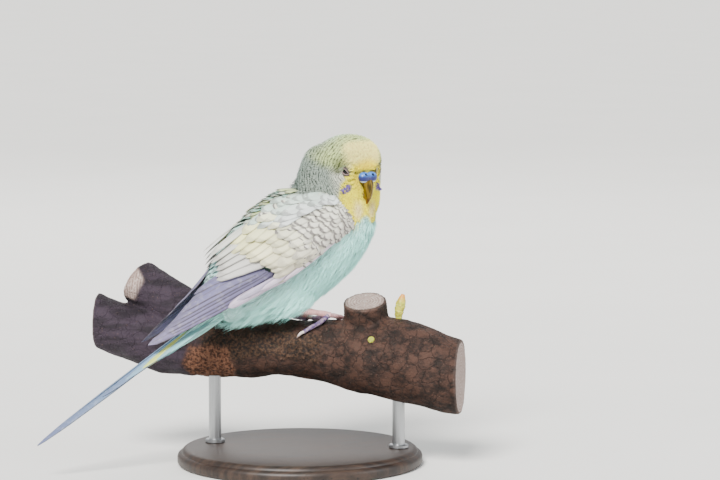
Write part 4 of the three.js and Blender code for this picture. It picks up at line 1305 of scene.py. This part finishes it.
def bill_rings(rows, steps):
    """Rings along one half of the bill."""
    t = np.linspace(0, 1, steps)
    line = through(rows, t)
    way = through(rows, t + 0.01)[:, :2] - through(rows, t - 0.01)[:, :2]
    way /= np.linalg.norm(way, axis=1)[:, None]
    angle = np.linspace(0, 2 * math.pi, BILL_SIDES, endpoint=False)
    side = line[:, 2:3] * np.sin(angle)
    out = line[:, 3:4] * np.cos(angle) * (1 + 0.1 * np.cos(angle) ** 3)
    f = line[:, :1] - way[:, 1:] * out
    h = line[:, 1:2] + way[:, :1] * out
    return head_point(f, side, h)


horn, add, shader = new_material("bill_horn_streaks", roughness=0.36, specular_ior_level=0.2,
                                 coat_weight=0.08, coat_roughness=0.2)
streak = add.noise(900, 5, stretch=(1, 1, 0.16))
patchy = add.noise(340, 3)
along = add.mark("along")
shade = add.two_tone(streak, 0.38, 0.62, srgb(46, 36, 0), srgb(116, 92, 0))
shade = add.mix(add.times(add.step(patchy, 0.45, 0.7), 0.5), shade, srgb(64, 52, 6))
shade = add.two_tone(along, 0.16, 0.0, shade, srgb(70, 60, 18))
shade = add.mix(add.times(add.step(along, 0.72, 0.98), 0.75), shade, srgb(104, 58, 14))
add.feed(shader.inputs["Base Color"], shade)
bump(add, shader, streak, 0.2, 0.0001)
for name, rows, steps, node in (("bill_hook", UPPER_BILL, 90, "bill_upper"),
                                ("bill_lower_horn", LOWER_BILL, 40, "bill_lower")):
    rings = bill_rings(rows, steps)
    half_bill = piece(name, *rings_to_mesh(rings), horn)
    put_mark(half_bill.data, "along", np.repeat(np.linspace(0, 1, steps), BILL_SIDES))
    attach(half_bill, "root")
    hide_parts(node)

# The cheek patches and bristles
# Four short violet feathers on each cheek lie side by side over the yellow mask, and a few dark
# bristles stand over the cere.
# number of each stroke's place in the row, its length
STROKES = ((-1.5, 2.0), (-0.5, 2.6), (0.5, 2.8), (1.5, 2.2))
STROKE_STEP = 1.3
BRISTLES = 44
BRISTLE_COLOUR = (58, 54, 26)


def down_cheek(points):
    side = np.sign(head_place(points)[1])[:, None]
    return -0.14 * forward + 0.33 * side * leftward - np.array((0, 0, 0.93)) + 0 * points


for side, hand in ((-1, "right"), (1, "left")):
    roots = []
    root_normals = []
    for number, _ in STROKES:
        step = number * STROKE_STEP
        f, l, h = PATCH_PLACE
        spot = HEAD_CENTRE + head_way(f + 0.44 * step, side * (l - 0.66 * step), h + 0.61 * step + 1.3)
        found, direction, _, _ = skin_tree.find_nearest(Vector(spot))
        roots.append(found)
        root_normals.append(direction)
    coat("cheek_patch_" + hand, np.array(roots), np.array(root_normals),
         np.array([size for _, size in STROKES]), barbs=11, fan=0.13, half=0.2, rise=1.4, seed=61,
         steps=5, way=down_cheek, tone=PATCH)

rng = np.random.default_rng(62)
side = np.where(np.arange(BRISTLES) % 2 == 0, -1, 1)
start_f = rng.uniform(11.6, 12.6, BRISTLES)
start_l = side * rng.uniform(1.0, 3.2, BRISTLES)
t = np.linspace(0, 1, 5)
reach = rng.uniform(1.0, 1.9, BRISTLES)[:, None] * t
f = start_f[:, None] + 0.75 * reach
l = start_l[:, None] + 0.3 * side[:, None] * reach
h = -0.75 + 0.5 * reach - 0.22 * reach ** 2 + rng.normal(0, 0.12, BRISTLES)[:, None]
lines = head_point(f, l, h)
facing = np.broadcast_to(forward + UP, lines.shape)
marks = coat_marks(lines.shape[:2], srgb(*BRISTLE_COLOUR), rng.normal(0, 1, BRISTLES), lines[:, 0])
width = np.full(BRISTLES, 0.09)[:, None] * (1 - 0.85 * t)
bristles = swept_feathers("cere_bristles", lines, facing, width, marks, barb_paint, thickness=0.6,
                          camber=0.1)
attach(bristles, "root")

# The wings
# Each folded wing is a stack of feather rows on the arm: small scalloped coverts at the
# shoulder, rounder cream ones behind, long grey tertials over the lavender flight feathers.
WING_LOWER = [(17, 14, 99), (-3, 17.5, 86.5), (-22, 16, 75), (-43, 10, 63), (-65, 5.5, 53)]
WING_MIDDLE = [(13, 17.8, 106), (-8, 20.6, 97), (-26, 17, 85), (-44.5, 9.5, 69.5), (-65, 4.5, 54.5)]
WING_UPPER = [(6, 10.5, 113), (-13, 6.5, 108.5), (-29, 4.6, 95.5), (-43, 3.6, 76), (-63.5, 2.8, 56.5)]
SHINGLE = math.radians(10)
FEATHER_CELLS = 18
BARB_LINES, BARB_SLANT = 170.0, -26.0


def wing_place(a, b):
    """The left wing's sheet: a runs from shoulder to tip, b from lower to upper edge."""
    p, q, r = [through(rows, a) for rows in (WING_LOWER, WING_MIDDLE, WING_UPPER)]
    b = b[:, None]
    return p * 2 * (b - 0.5) * (b - 1) - 4 * q * b * (b - 1) + r * 2 * b * (b - 0.5)


def unit(vectors):
    return vectors / (np.linalg.norm(vectors, axis=-1, keepdims=True) + 1e-12)


def wing_frame(side, a, b):
    """Point, outward normal and upward direction of the sheet of one wing."""
    point = wing_place(a, b)
    onward = wing_place(np.minimum(a + 0.02, 1), b) - wing_place(np.maximum(a - 0.02, 0), b)
    upward = unit(wing_place(a, b + 0.02) - wing_place(a, b - 0.02))
    normal = unit(np.cross(upward, onward))
    normal *= np.sign(normal[:, 1:2])
    mirror = np.array((1, side, 1))
    return point * mirror, normal * mirror, upward * mirror


def lay_on_wing(side, root, tip, lift, push, steps):
    """Lines over the sheet of one wing from root to tip places, lifted and pushed past its edge."""
    t = np.linspace(0, 1, steps)[None, :, None]
    places = (root[:, None] * (1 - t) + tip[:, None] * t).reshape(-1, 2)
    point, normal, upward = wing_frame(side, places[:, 0], places[:, 1])
    high = (lift[:, None, :1] * (1 - t) + lift[:, None, 1:] * t).reshape(-1, 1)
    beyond = (push[:, None] * t ** 2).reshape(-1, 3) * (1, side, 1)
    facing = unit(normal * math.cos(SHINGLE) + upward * math.sin(SHINGLE))
    shape = (len(root), steps, 3)
    return (point + normal * high + beyond).reshape(shape), facing.reshape(shape)


def barbs_of(lines, facing, half, many, rng):
    """Thin barbs laid over each feather and a little past its edge, to fray its tip."""
    count, steps, _ = lines.shape
    begin = steps // 3
    along = np.gradient(lines, axis=1)
    side = unit(np.cross(facing, along))
    place = np.linspace(-0.95, 0.95, many)[None, :, None, None]
    place = place + rng.normal(0, 0.05, (count, many, 1, 1))
    inner = lines[:, None] + side[:, None] * place * half[:, None, :, None]
    reach = (0.5 - np.abs(place[..., 0, 0])) * 0.2 + rng.normal(0, 0.05, (count, many))
    tail_end = lines[:, -1] - lines[:, -2]
    inner[:, :, -1] += tail_end[:, None] * reach[..., None] + facing[:, None, -1] * 0.05
    inner = inner[:, :, begin:]
    inner += facing[:, None, begin:] * 0.12
    shape = (count * many, steps - begin, 3)
    face = np.broadcast_to(facing[:, None, begin:], inner.shape)
    return inner.reshape(shape), face.reshape(shape), place.reshape(-1)


COVERT = ((0, 0.45), (0.3, 0.85), (0.65, 1), (0.82, 0.93), (0.93, 0.7), (1, 0.16))
LONG_VANE = ((0, 0.3), (0.12, 0.7), (0.5, 1), (0.8, 0.93), (0.94, 0.64), (1, 0.06))


def row(count, root, tip, half, lift, colour, edge, side, shaft, push=((0, 0, 0), (0, 0, 0)),
        shape=COVERT, jitter=0.006, frayed=True):
    """One row of wing feathers, each value given for its first and last feather."""
    return {"count": count, "root": root, "tip": tip, "half": half, "lift": lift, "colour": colour,
            "edge": edge, "side": side, "shaft": shaft, "push": push, "shape": shape,
            "jitter": jitter, "frayed": frayed}


LAVENDER = (96, 94, 128)
WING_ROWS = [
    row(8, ((0.40, 0.06), (0.50, 0.5)), ((1.0, 0.3), (0.79, 1.02)), (2.3, 3.0), ((-0.5, -0.6), (0.2, 0.5)),
        ((108, 102, 136), LAVENDER), 0.3, 1.0, 0.95, ((-1.5, 0, -0.6), (0, 0, 0)), LONG_VANE, 0.004, False),
    row(3, ((0.06, 0.05), (0.3, 0.05)), ((0.4, 0.03), (0.62, 0.13)), (1.5, 1.7), ((0.8, 0.2), (2.3, 0.9)),
        ((240, 222, 238), (184, 174, 200)), 0.1, 0.5, 0.3, shape=LONG_VANE, frayed=False),
    row(6, ((0.42, 0.42), (0.36, 0.98)), ((0.66, 0.74), (0.6, 1.0)), (3.2, 2.8), ((0, 0.4), (0.9, 1.4)),
        ((192, 190, 186), (202, 204, 194)), 0.3, 0.55, 0.4, ((0, 0, 0), (-5, 0.4, 0)), LONG_VANE, 0.006,
        False),
    row(9, ((0.26, 0.03), (0.46, 0.1)), ((0.44, 0.0), (0.66, 0.07)), (1.6, 1.8), ((0.1, 0.3), (0.5, 0.8)),
        ((212, 196, 214), (206, 190, 214)), 0.15, 0.4, 0.3, jitter=0.008),
    row(10, ((0.2, 0.06), (0.36, 0.93)), ((0.41, 0.07), (0.56, 0.95)), (2.4, 2.9), ((0.3, 0.3), (1.2, 1.9)),
        ((214, 206, 186), (224, 222, 164)), 0.35, 0.5, 0.25, jitter=0.012),
    row(10, ((0.15, 0.1), (0.28, 0.94)), ((0.33, 0.12), (0.46, 0.93)), (2.6, 3.2), ((0.3, 0.4), (1.6, 2.3)),
        ((216, 210, 186), (222, 222, 172)), 0.3, 0.2, 0.1, jitter=0.016),
    row(11, ((0.12, 0.1), (0.2, 0.95)), ((0.27, 0.12), (0.38, 0.94)), (2.4, 2.9), ((0.3, 0.4), (1.9, 2.6)),
        ((218, 212, 194), (220, 222, 188)), 0.45, 0.15, 0.1, jitter=0.016),
    row(10, ((0.08, 0.02), (0.32, 0.0)), ((0.2, -0.02), (0.46, -0.03)), (1.4, 1.6), ((-0.2, 0.1), (0.4, 0.6)),
        ((224, 208, 222), (216, 200, 220)), 0.1, 0.2, 0.1, jitter=0.01),
]
LESSER_ROWS = 10
for k in range(LESSER_ROWS):
    share = k / (LESSER_ROWS - 1)
    a = 0.31 - 0.3 * share
    WING_ROWS.append(row(14, ((a - 0.10, 0.07), (a - 0.05, 0.93)), ((a - 0.03, 0.06), (a + 0.03, 0.95)),
                         (1.85, 2.1), ((0.4, 0.5), (1.9 - 0.7 * share, 2.2 - 0.4 * share)),
                         ((216, 210, 200), (212, 214, 196)), 0.85, 0.12, 0.0, jitter=0.013))
SCAPULAR_ROWS = 6
for k in range(SCAPULAR_ROWS):
    share = k / (SCAPULAR_ROWS - 1)
    a = 0.26 - 0.26 * share
    WING_ROWS.append(row(6, ((a - 0.06, 0.78), (a - 0.02, 0.97)), ((a + 0.06, 0.76), (a + 0.12, 0.95)),
                         (2.2, 2.4), ((1.2, 1.0), (2.5, 1.9)), ((208, 214, 212), (186, 206, 194)),
                         0.55, 0.15, 0.1, jitter=0.03))

vane_marks_and_edge_shade = bpy.data.node_groups.new("vane_marks_and_edge_shade", "ShaderNodeTree")
for name, kind in (("Colour", "NodeSocketColor"), ("Dark", "NodeSocketColor"),
                   ("Edge", "NodeSocketFloat"), ("Side", "NodeSocketFloat"),
                   ("Shaft", "NodeSocketFloat")):
    vane_marks_and_edge_shade.interface.new_socket(name, in_out="INPUT", socket_type=kind)
vane_marks_and_edge_shade.interface.new_socket("Colour", in_out="OUTPUT", socket_type="NodeSocketColor")
vane_marks_and_edge_shade.interface.new_socket("Height", in_out="OUTPUT", socket_type="NodeSocketFloat")
add = Nodes(vane_marks_and_edge_shade)
given = add("NodeGroupInput")
off = add.math("ABSOLUTE", add.math("ADD", add.times(add.mark("across"), add.mark("span")),
                                    add.mark("offset")))
along = add.mark("along")
bent = add.math("SUBTRACT", along, add.times(add.times(off, off), -0.09))
wavy = add.math("ADD", bent, add.times(add.noise(900, 2), 0.1))
crescent = add.times(add.step(wavy, 0.86, 0.94), add.step(wavy, 1.1, 1.02))
rim = add.step(off, 0.74, 0.97)
quill = add.step(off, 0.07, 0.02)
barb = add.math("SINE", add.math("ADD", add.times(along, BARB_LINES), add.times(off, BARB_SLANT)))
worn = add.noise(500, 3)
# dark tip crescents and side rims: partly the feathers' markings, partly painted shade where feathers overlap
colour = add.mix(add.times(crescent, given.outputs["Edge"]), given.outputs["Colour"],
                 given.outputs["Dark"])
colour = add.mix(add.times(rim, given.outputs["Side"]), colour, given.outputs["Dark"])
colour = add.mix(add.times(quill, given.outputs["Shaft"]), colour, given.outputs["Dark"])
colour = add.mix(add.times(add.step(barb, 0.2, 1.0), 0.12), colour, given.outputs["Dark"])
colour = add.mix(add.times(add.step(worn, 0.5, 0.7), 0.08), colour, srgb(246, 244, 234))
height = add.math("ADD", add.times(barb, 0.35), add.times(quill, 2.0))
result = add("NodeGroupOutput")
add.feed(result.inputs["Colour"], colour)
add.feed(result.inputs["Height"], height)


def vane_material(name, dark):
    material, add, shader = new_material(name, roughness=0.6, specular_ior_level=0.3, sheen_weight=0.06)
    marks = add("ShaderNodeGroup", node_tree=vane_marks_and_edge_shade)
    add.feed(marks.inputs["Colour"], add.mark("plumage", "Color"))
    add.feed(marks.inputs["Dark"], srgb(*dark))
    for key in ("Edge", "Side", "Shaft"):
        add.feed(marks.inputs[key], add.mark(key.lower()))
    # random tint for each feather, times painted shade darker towards the root, where other feathers cover it
    tone = add.level(add.mark("tint"), 0.88, 1.14, -2.0, 2.0)
    root = add.level(add.mark("along"), 0.82, 1.04, 0.0, 0.6)
    light = add.grey(add.times(tone, root))
    add.feed(shader.inputs["Base Color"], add.mix(1.0, marks.outputs["Colour"], light, "MULTIPLY"))
    bump(add, shader, marks.outputs["Height"], 0.25, 0.0001)
    return material


wing_paint = vane_material("wing_vanes", (84, 78, 80))


def cell_marks(index, count, steps):
    """Each big feather's own square on the bake map."""
    cell = np.arange(index, index + count) % (FEATHER_CELLS * FEATHER_CELLS)
    middle = np.stack([cell % FEATHER_CELLS + 0.5, cell // FEATHER_CELLS + 0.5], -1) / FEATHER_CELLS
    root = np.broadcast_to(middle[:, None], (count, steps, 2))
    return root, np.full((count, steps), 0.9 / FEATHER_CELLS)


def feather_marks(root, patch, **spread):
    """Marks for each point of feathers, from one value or colour for each feather."""
    shape = patch.shape
    marks = {"root": root, "patch": patch}
    for key, values in {"span": 1.0, "offset": 0.0, **spread}.items():
        if np.ndim(values) == 2:
            values = np.c_[values, np.ones(len(values))]
            marks[key] = np.broadcast_to(values[:, None], (*shape, 4))
        else:
            marks[key] = np.broadcast_to(np.reshape(values, (-1, 1)), shape)
    return marks


def joined(pieces, name):
    """Makes one object of several."""
    with bpy.context.temp_override(active_object=pieces[0], selected_editable_objects=pieces):
        bpy.ops.object.join()
    pieces[0].name = name
    pieces[0].data.name = name
    return pieces[0]


VANE_STEPS = 13
FRAY_BARBS = 12
FRAY_EDGE = 0.35


def vanes(lines, facing, width, colour, tint, where, patch, finish, rng, frays=0, sides=10, **marks):
    """Flat feathers along the lines, and some loose barbs that fray their edges and tips."""
    whole = feather_marks(where, patch, plumage=colour, tint=tint, **marks)
    made = [swept_feathers("vane", lines, facing, width, whole, finish, sides, 0.07, 0.16)]
    if not frays:
        return made
    count, steps, _ = lines.shape
    begin = steps // 3
    fray, face, place = barbs_of(lines, facing, width, frays, rng)
    each = count * frays
    slim = np.interp(np.linspace(0, 1, fray.shape[1]), [0, 0.6, 1], [0.1, 0.19, 0.02])
    many = feather_marks(np.repeat(where[:, begin:], frays, 0), np.repeat(patch[:, begin:], frays, 0),
                         plumage=np.repeat(colour, frays, 0),
                         tint=np.repeat(tint, frays) + rng.normal(0, 0.5, each), span=0.0,
                         offset=place, **{**marks, "side": FRAY_EDGE * marks["side"]})
    along = np.linspace(0, 1, steps)[begin:]
    many["along"] = np.broadcast_to(along, (each, len(along)))
    slim = np.broadcast_to(slim, (each, len(slim)))
    made.append(swept_feathers("fray", fray, face, slim, many, finish, camber=0.1))
    return made


for side, hand in ((-1, "right"), (1, "left")):
    rng = np.random.default_rng(40 + side)
    made = []
    used = 0
    for spec in WING_ROWS:
        count = spec["count"]
        edge, bar, shaft = spec["edge"], spec["side"], spec["shaft"]
        k = np.linspace(0, 1, count)[:, None]
        first, last = [np.array([spec[key][n] for key in ("root", "tip")], float) for n in (0, 1)]
        root = first[0] + (last[0] - first[0]) * k + rng.normal(0, spec["jitter"], (count, 2))
        tip = first[1] + (last[1] - first[1]) * k + rng.normal(0, spec["jitter"], (count, 2))
        lift = np.stack([np.interp(k[:, 0], [0, 1], spec["lift"][0]),
                         np.interp(k[:, 0], [0, 1], spec["lift"][1]) + rng.normal(0, 0.12, count)], -1)
        push = np.array(spec["push"][0]) * (1 - k ** 1.5) + np.array(spec["push"][1]) * k ** 1.5
        lines, facing = lay_on_wing(side, root, tip, lift, push, VANE_STEPS)
        shape = np.array(spec["shape"])
        t = np.linspace(0, 1, VANE_STEPS)
        width = np.interp(k[:, 0], [0, 1], spec["half"])[:, None] * np.interp(t, shape[:, 0], shape[:, 1])
        width = width * rng.uniform(0.9, 1.1, (count, 1))
        colour = np.array([srgb(*spec["colour"][n]) for n in (0, 1)])
        colour = colour[0] * (1 - k) + colour[1] * k
        where, patch = cell_marks(used, count, VANE_STEPS)
        made += vanes(lines, facing, width, colour, rng.normal(0, 1, count), where, patch, wing_paint, rng,
                      FRAY_BARBS * spec["frayed"], edge=edge, side=bar, shaft=shaft)
        used += count
    wing = joined(made, "wing_feathers_" + hand)
    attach(wing, "root")
    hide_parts("wing_" + hand)

# The back
# Broad soft feathers of the mantle, barred dark and cream, laid like tiles from the nape down
# between the wings to the rump.
MANTLE_COLOURS = ((176, 188, 136), (132, 172, 156), (176, 186, 168))
MANTLE_SPACING = 1.9
MANTLE_STEPS = 9
MANTLE_FRAYS = 9
MANTLE_SIDES = 8


def on_mantle(points):
    x, y, _ = points.T
    return (smoothstep(above_axis(points), 3, 6) * smoothstep(np.abs(y), 13, 11)
            * smoothstep(head_share(points), 0.3, 0.1) * smoothstep(x, -37, -33))


roots, root_normals = spread_roots(even(MANTLE_SPACING), on_mantle, seed=81)
order = np.argsort(roots[:, 0])
roots, root_normals = roots[order], root_normals[order]
rng = np.random.default_rng(82)
count = len(roots)
turn = rng.normal(0, 0.1, count)
size = rng.uniform(6.0, 8.0, count)
lines, facing = follow_skin(roots, root_normals, size, turn, MANTLE_STEPS,
                            lambda t: np.full(count, 0.8 + 3.2 * t))
t = np.linspace(0, 1, MANTLE_STEPS)
width = rng.uniform(1.4, 1.8, count)[:, None] * np.interp(t, *np.array(COVERT).T)
pick = rng.integers(0, len(MANTLE_COLOURS), count)
colour = np.array([srgb(*tone) for tone in MANTLE_COLOURS])[pick]
rump = smoothstep(roots[:, 0], -16, -26)
colour = blend(colour, np.array(srgb(*RUMP)), rump)
where, patch = cell_marks(0, count, MANTLE_STEPS)
made = vanes(lines, facing, width, colour, rng.normal(0, 1, count), where, patch, wing_paint, rng,
             MANTLE_FRAYS, MANTLE_SIDES, edge=0.9 - 0.5 * rump.mean(), side=0.3, shaft=0.1)
mantle = joined(made, "mantle_feathers")
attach(mantle, "root")

# The tail
# Twelve stiff feathers stepped in length from the long pale blue middle pair, under a short
# tuft of soft coverts above and a longer mint tuft below.
TAIL_ROOT = np.array((-36.0, 0, 66))
TAIL_TIP = np.array((-113.5, 0, 12.6))
TAIL_ROLL = math.radians(-16)
ROOF = math.radians(32)
tail_along = (TAIL_TIP - TAIL_ROOT) / np.linalg.norm(TAIL_TIP - TAIL_ROOT)
tail_length = np.linalg.norm(TAIL_TIP - TAIL_ROOT)
tail_across = np.array(Matrix.Rotation(-TAIL_ROLL, 3, Vector(tail_along)) @ Vector((0, 1, 0)))
tail_over = np.cross(tail_along, tail_across)
tail_over *= np.sign(tail_over[2])
# length, spread at the tip, height, half width, colour at root and tip
TAIL_FEATHERS = [
    (tail_length, 1.3, 0.4, 2.9, (116, 156, 180), (92, 98, 134)),
    (60, 2.7, 0.1, 2.7, (114, 158, 184), (100, 116, 150)),
    (49, 3.6, -0.3, 2.6, (138, 180, 192), (120, 154, 178)),
    (41, 4.4, -0.7, 2.6, (208, 218, 104), (194, 206, 98)),
    (34, 5.4, -1.4, 2.5, (134, 188, 188), (120, 170, 180)),
    (28, 6.3, -2.2, 2.4, (134, 196, 188), (120, 180, 180)),
]
TAIL_STEPS = 24
COVERTS = 150
COVERT_BARBS = 8
COVERT_STEPS = 6
COVERT_TIP = (178, 226, 220)
tail_paint = vane_material("tail_vanes", (104, 112, 130))


def tail_point(along, across, over):
    return (TAIL_ROOT + np.multiply.outer(along, tail_along) + np.multiply.outer(across, tail_across)
            + np.multiply.outer(over, tail_over))


def tail_lines(length, spread, height, side, start=2.0):
    t = np.linspace(0, 1, TAIL_STEPS)
    line = tail_point(start + (length - start) * t, side * spread * (0.5 + 0.5 * t),
                      height * (0.6 + 0.4 * t))
    slope = unit(tail_over * math.cos(ROOF) + side * tail_across * math.sin(ROOF))
    return line[None], np.broadcast_to(slope, (1, TAIL_STEPS, 3))


rng = np.random.default_rng(70)
made = []
for index, (length, spread, height, half, near, far) in enumerate(TAIL_FEATHERS):
    for side in (-1, 1):
        lines, facing = tail_lines(length * rng.uniform(0.97, 1), spread, height - 0.3 * (side > 0), side)
        t = np.linspace(0, 1, TAIL_STEPS)
        width = half * np.interp(t, [0, 0.2, 0.6, 0.85, 0.96, 1], [0.5, 0.95, 1, 0.72, 0.34, 0.05])[None]
        where, patch = cell_marks(2 * index + (side > 0), 1, TAIL_STEPS)
        marks = feather_marks(where, patch, plumage=np.array([srgb(*near)]), edge=0.0, side=0.7,
                              shaft=0.8, tint=rng.normal() * 0.6)
        root_tone, tip_tone = np.array(srgb(*near)), np.array(srgb(*far))
        tone = root_tone + (tip_tone - root_tone) * t[:, None]
        marks["plumage"] = np.c_[tone, np.ones(TAIL_STEPS)][None]
        made.append(swept_feathers("vane", lines, facing, width, marks, tail_paint, 12, 0.09, 0.1))
tail = joined(made, "tail_feathers")
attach(tail, "root")
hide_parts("tail")


def tail_coverts(name, angles, reach, seed):
    """Soft feathers rooted round the tail's stem: angles from the underside, length by angle."""
    rng = np.random.default_rng(seed)
    angle = rng.uniform(*angles, COVERTS)
    start = rng.uniform(-9, 7, COVERTS)
    spread = np.interp(start, [-9, 0, 7], [6.5, 5.8, 4.2])
    roots = tail_point(start, spread * np.sin(angle), -0.8 * spread * np.cos(angle))
    out = np.multiply.outer(np.sin(angle), tail_across) - np.multiply.outer(np.cos(angle), tail_over)
    many = np.repeat(np.arange(COVERTS), COVERT_BARBS)
    place = np.tile(np.linspace(-1, 1, COVERT_BARBS), COVERTS)
    t = np.linspace(0, 1, COVERT_STEPS)
    long = (reach * rng.uniform(0.65, 1.05, COVERTS))[many] * rng.uniform(0.8, 1.0, len(many))
    long = (long * (1 - 0.2 * np.abs(place)))[:, None]
    wide = spread[many][:, None]
    across = wide * (1 - 0.5 * t) * np.sin(angle[many])[:, None]
    across = across + (place * 0.16)[:, None] * long * t * 0.6
    over = -(0.8 * wide * (1 - 0.55 * t) + 1.2 * np.sin(t * 2.4)) * np.cos(angle[many])[:, None]
    lines = tail_point(start[many][:, None] + long * t, across, over)
    facing = np.broadcast_to(out[many][:, None], lines.shape)
    near, far = np.array(srgb(*BREAST_SHADE)), np.array(srgb(*COVERT_TIP))
    tint = rng.normal(0, 0.8, COVERTS)[many] + rng.normal(0, 0.5, len(many))
    marks = coat_marks(lines.shape[:2], near + (far - near) * t[:, None], tint, roots[many])
    width = np.full(len(many), 0.22)[:, None] * np.interp(t, [0, 0.3, 0.8, 1], [0.7, 1, 0.7, 0.06])
    made = swept_feathers(name, lines, facing, width, marks, barb_paint, thickness=0.22, camber=0.12)
    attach(made, "root")


tail_coverts("under_tail_coverts", (-1.7, 1.7), 25.0, 91)
tail_coverts("upper_tail_coverts", (1.7, 4.5), 17.0, 92)

# The feet and claws
# Bare scaly skin drawn tight over the bones: a short shank and four toes, two forward and two
# back, closed round the bark, each with a curved horn claw pressed on it.
TOE_RADIUS = 1.0
TOE_GAP = 0.3
ANKLE_LIFT = 1.6
FOOT_VOXEL = 0.24
TOE_STEPS, TOE_SIDES = 48, 28
CLAW_STEPS, CLAW_SIDES = 30, 24
SCUTE_PITCH = 7.4
# from the branch's middle line to the ankle, and to a toe's middle
ANKLE_REACH = 13.5
TOE_REACH = 14
ANKLES = {-1: (10.9, -5.7), 1: (7, 8.8)}
# each toe's way over the bark from the ankle: along the branch, turn round it, lift off it
TOES = {
    -1: [[(0, 0, ANKLE_LIFT), (2.4, -0.2, 0.4), (4, -0.42, 0.1), (5, -0.7, 0)],
         [(0, 0, ANKLE_LIFT), (1.4, -0.35, 0.4), (2.4, -0.7, 0.1), (3, -1, 0)],
         [(0, 0, ANKLE_LIFT), (-3.2, 0.2, 0.3), (-6.4, 0.43, 0.1), (-9.3, 0.65, 0)],
         [(0, 0, ANKLE_LIFT), (-3, -0.1, 0.4), (-5.5, -0.2, 0.1), (-7.5, -0.28, 0)]],
    1: [[(0, 0, ANKLE_LIFT), (3.5, 0.12, 0.4), (6.5, 0.26, 0.1), (9, 0.4, 0)],
        [(0, 0, ANKLE_LIFT), (3, 0, 0.4), (5.2, 0.02, 0.1), (7, 0.04, 0)],
        [(0, 0, ANKLE_LIFT), (-3, 0.25, 0.3), (-6.5, 0.45, 0.1), (-10, 0.58, 0)],
        [(0, 0, ANKLE_LIFT), (-3, -0.1, 0.4), (-5.5, -0.2, 0.1), (-7.5, -0.28, 0)]],
}
# front toes pink; the two back toes painted darker, the longer nearly violet-black: painted shade under the
# bird
TOE_COLOURS_AND_SHADE = ((216, 166, 168), (196, 150, 158), (72, 56, 106), (146, 114, 140))
SHANK_COLOUR = (226, 168, 162)
# distance past the toe's end, lift, radius
CLAW = [(0.1, 0.1, 0.62), (1.2, 0.5, 0.58), (2.2, 0.45, 0.46), (3.1, 0.0, 0.3), (3.8, -0.6, 0.12)]
foot_skin, add, shader = new_material("foot_scales", roughness=0.55, specular_ior_level=0.4)
scute = add.mark("scute")
groove = add.step(add.math("SINE", add.times(scute, SCUTE_PITCH)), 0.55, 0.95)
pebble = add("ShaderNodeTexVoronoi", {"Vector": add("ShaderNodeTexCoord").outputs["Object"],
                                      "Scale": 2200.0}).outputs[0]
worn = add.times(add.step(add.noise(700, 3), 0.4, 0.65), 0.3)
# skin colour of each part of the foot, with painted shade on the back toes, and paler worn patches
shade = add.mix(worn, add.mark("flesh_and_shade", "Color"), srgb(236, 214, 210))
shade = add.mix(add.times(groove, 0.5), shade, srgb(112, 80, 96))
add.feed(shader.inputs["Base Color"], shade)
relief = add.math("SUBTRACT", add.times(pebble, 0.5), groove)
bump(add, shader, relief, 0.5, 0.0002)
claw_horn, add, shader = new_material("claw_keratin", roughness=0.3)
along = add.mark("along")
shade = add.two_tone(add.noise(1200, 3), 0.4, 0.6, srgb(196, 176, 172), srgb(226, 212, 204))
add.feed(shader.inputs["Base Color"], add.two_tone(along, 0.45, 1.0, shade, srgb(104, 88, 88)))


def over_bark(side, ds, turn, lift):
    """A place over the bark counted from one foot's ankle: along the branch, round it, off it."""
    away = np.array((*ANKLES[side], 0)) - BRANCH_AT
    ankle_turn = math.asin(away @ branch_across / ANKLE_REACH)
    return on_bark(away @ branch_along + ds, ankle_turn + side * turn, TOE_RADIUS + TOE_GAP + lift)


for side, hand in ((-1, "right"), (1, "left")):
    x, y = ANKLES[side]
    ankle = over_bark(side, 0, 0, ANKLE_LIFT)
    shank = [(-5, side * 8, ankle[2] + 4, 1.7), (1, side * 8.2, ankle[2] + 2.4, 1.3),
             (x - 2, y, ankle[2] + 0.7, 1.2), (x + 0.5, y, ankle[2], 1.3)]
    routes = [shank]
    claws = []
    for route in TOES[side]:
        routes.append([(*over_bark(side, ds, turn, lift), TOE_RADIUS * (1 - 0.07 * i))
                       for i, (ds, turn, lift) in enumerate(route)])
        (ds0, turn0, _), (ds, turn, _) = route[-2:]
        reach = math.hypot(ds - ds0, (turn - turn0) * TOE_REACH)
        rows = [(*over_bark(side, ds + (ds - ds0) * past / reach, turn + (turn - turn0) * past / reach,
                            lift), radius) for past, lift, radius in CLAW]
        claws.append(shoot_rings(rows, CLAW_STEPS, CLAW_SIDES))
    shells = []
    for rows in routes:
        rings = shoot_rings(rows, TOE_STEPS, TOE_SIDES)
        middle = rings.mean(1, keepdims=True)
        swell = 1 + 0.07 * np.cos(np.linspace(0, 6 * math.pi, TOE_STEPS))[:, None, None]
        shells.append(middle + (rings - middle) * swell)
    foot = piece("foot_skin_" + hand, *several(shells), foot_skin)
    mesh = remeshed(foot, FOOT_VOXEL, 3)
    points = get_points(mesh)
    best = np.full(len(points), 1e9)
    scute = np.zeros(len(points))
    flesh_and_shade = np.zeros((len(points), 3))
    for rows, tone in zip(routes, (SHANK_COLOUR, *TOE_COLOURS_AND_SHADE)):
        line = through(rows, np.linspace(0, 1, 60))[:, :3]
        run = np.r_[0, np.cumsum(np.linalg.norm(np.diff(line, axis=0), axis=1))]
        gaps = np.linalg.norm(points[:, None] - line[None], axis=-1)
        nearest = gaps.argmin(1)
        gap = gaps.min(1)
        closer = gap < best
        best = np.where(closer, gap, best)
        scute = np.where(closer, run[nearest], scute)
        flesh_and_shade = np.where(closer[:, None], srgb(*tone), flesh_and_shade)
    put_mark(mesh, "scute", scute)
    put_mark(mesh, "flesh_and_shade", np.c_[flesh_and_shade, np.ones(len(points))], "FLOAT_COLOR")
    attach(foot, "root")
    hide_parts("foot_" + hand)
    horn_claws = piece("claws_" + hand, *several(claws), claw_horn)
    along_claw = np.repeat(np.linspace(0, 1, CLAW_STEPS), CLAW_SIDES)
    put_mark(horn_claws.data, "along", np.tile(along_claw, len(claws)))
    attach(horn_claws, "root")
    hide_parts(*["claw_" + hand + "_" + str(n) for n in (1, 2, 3, 4)])
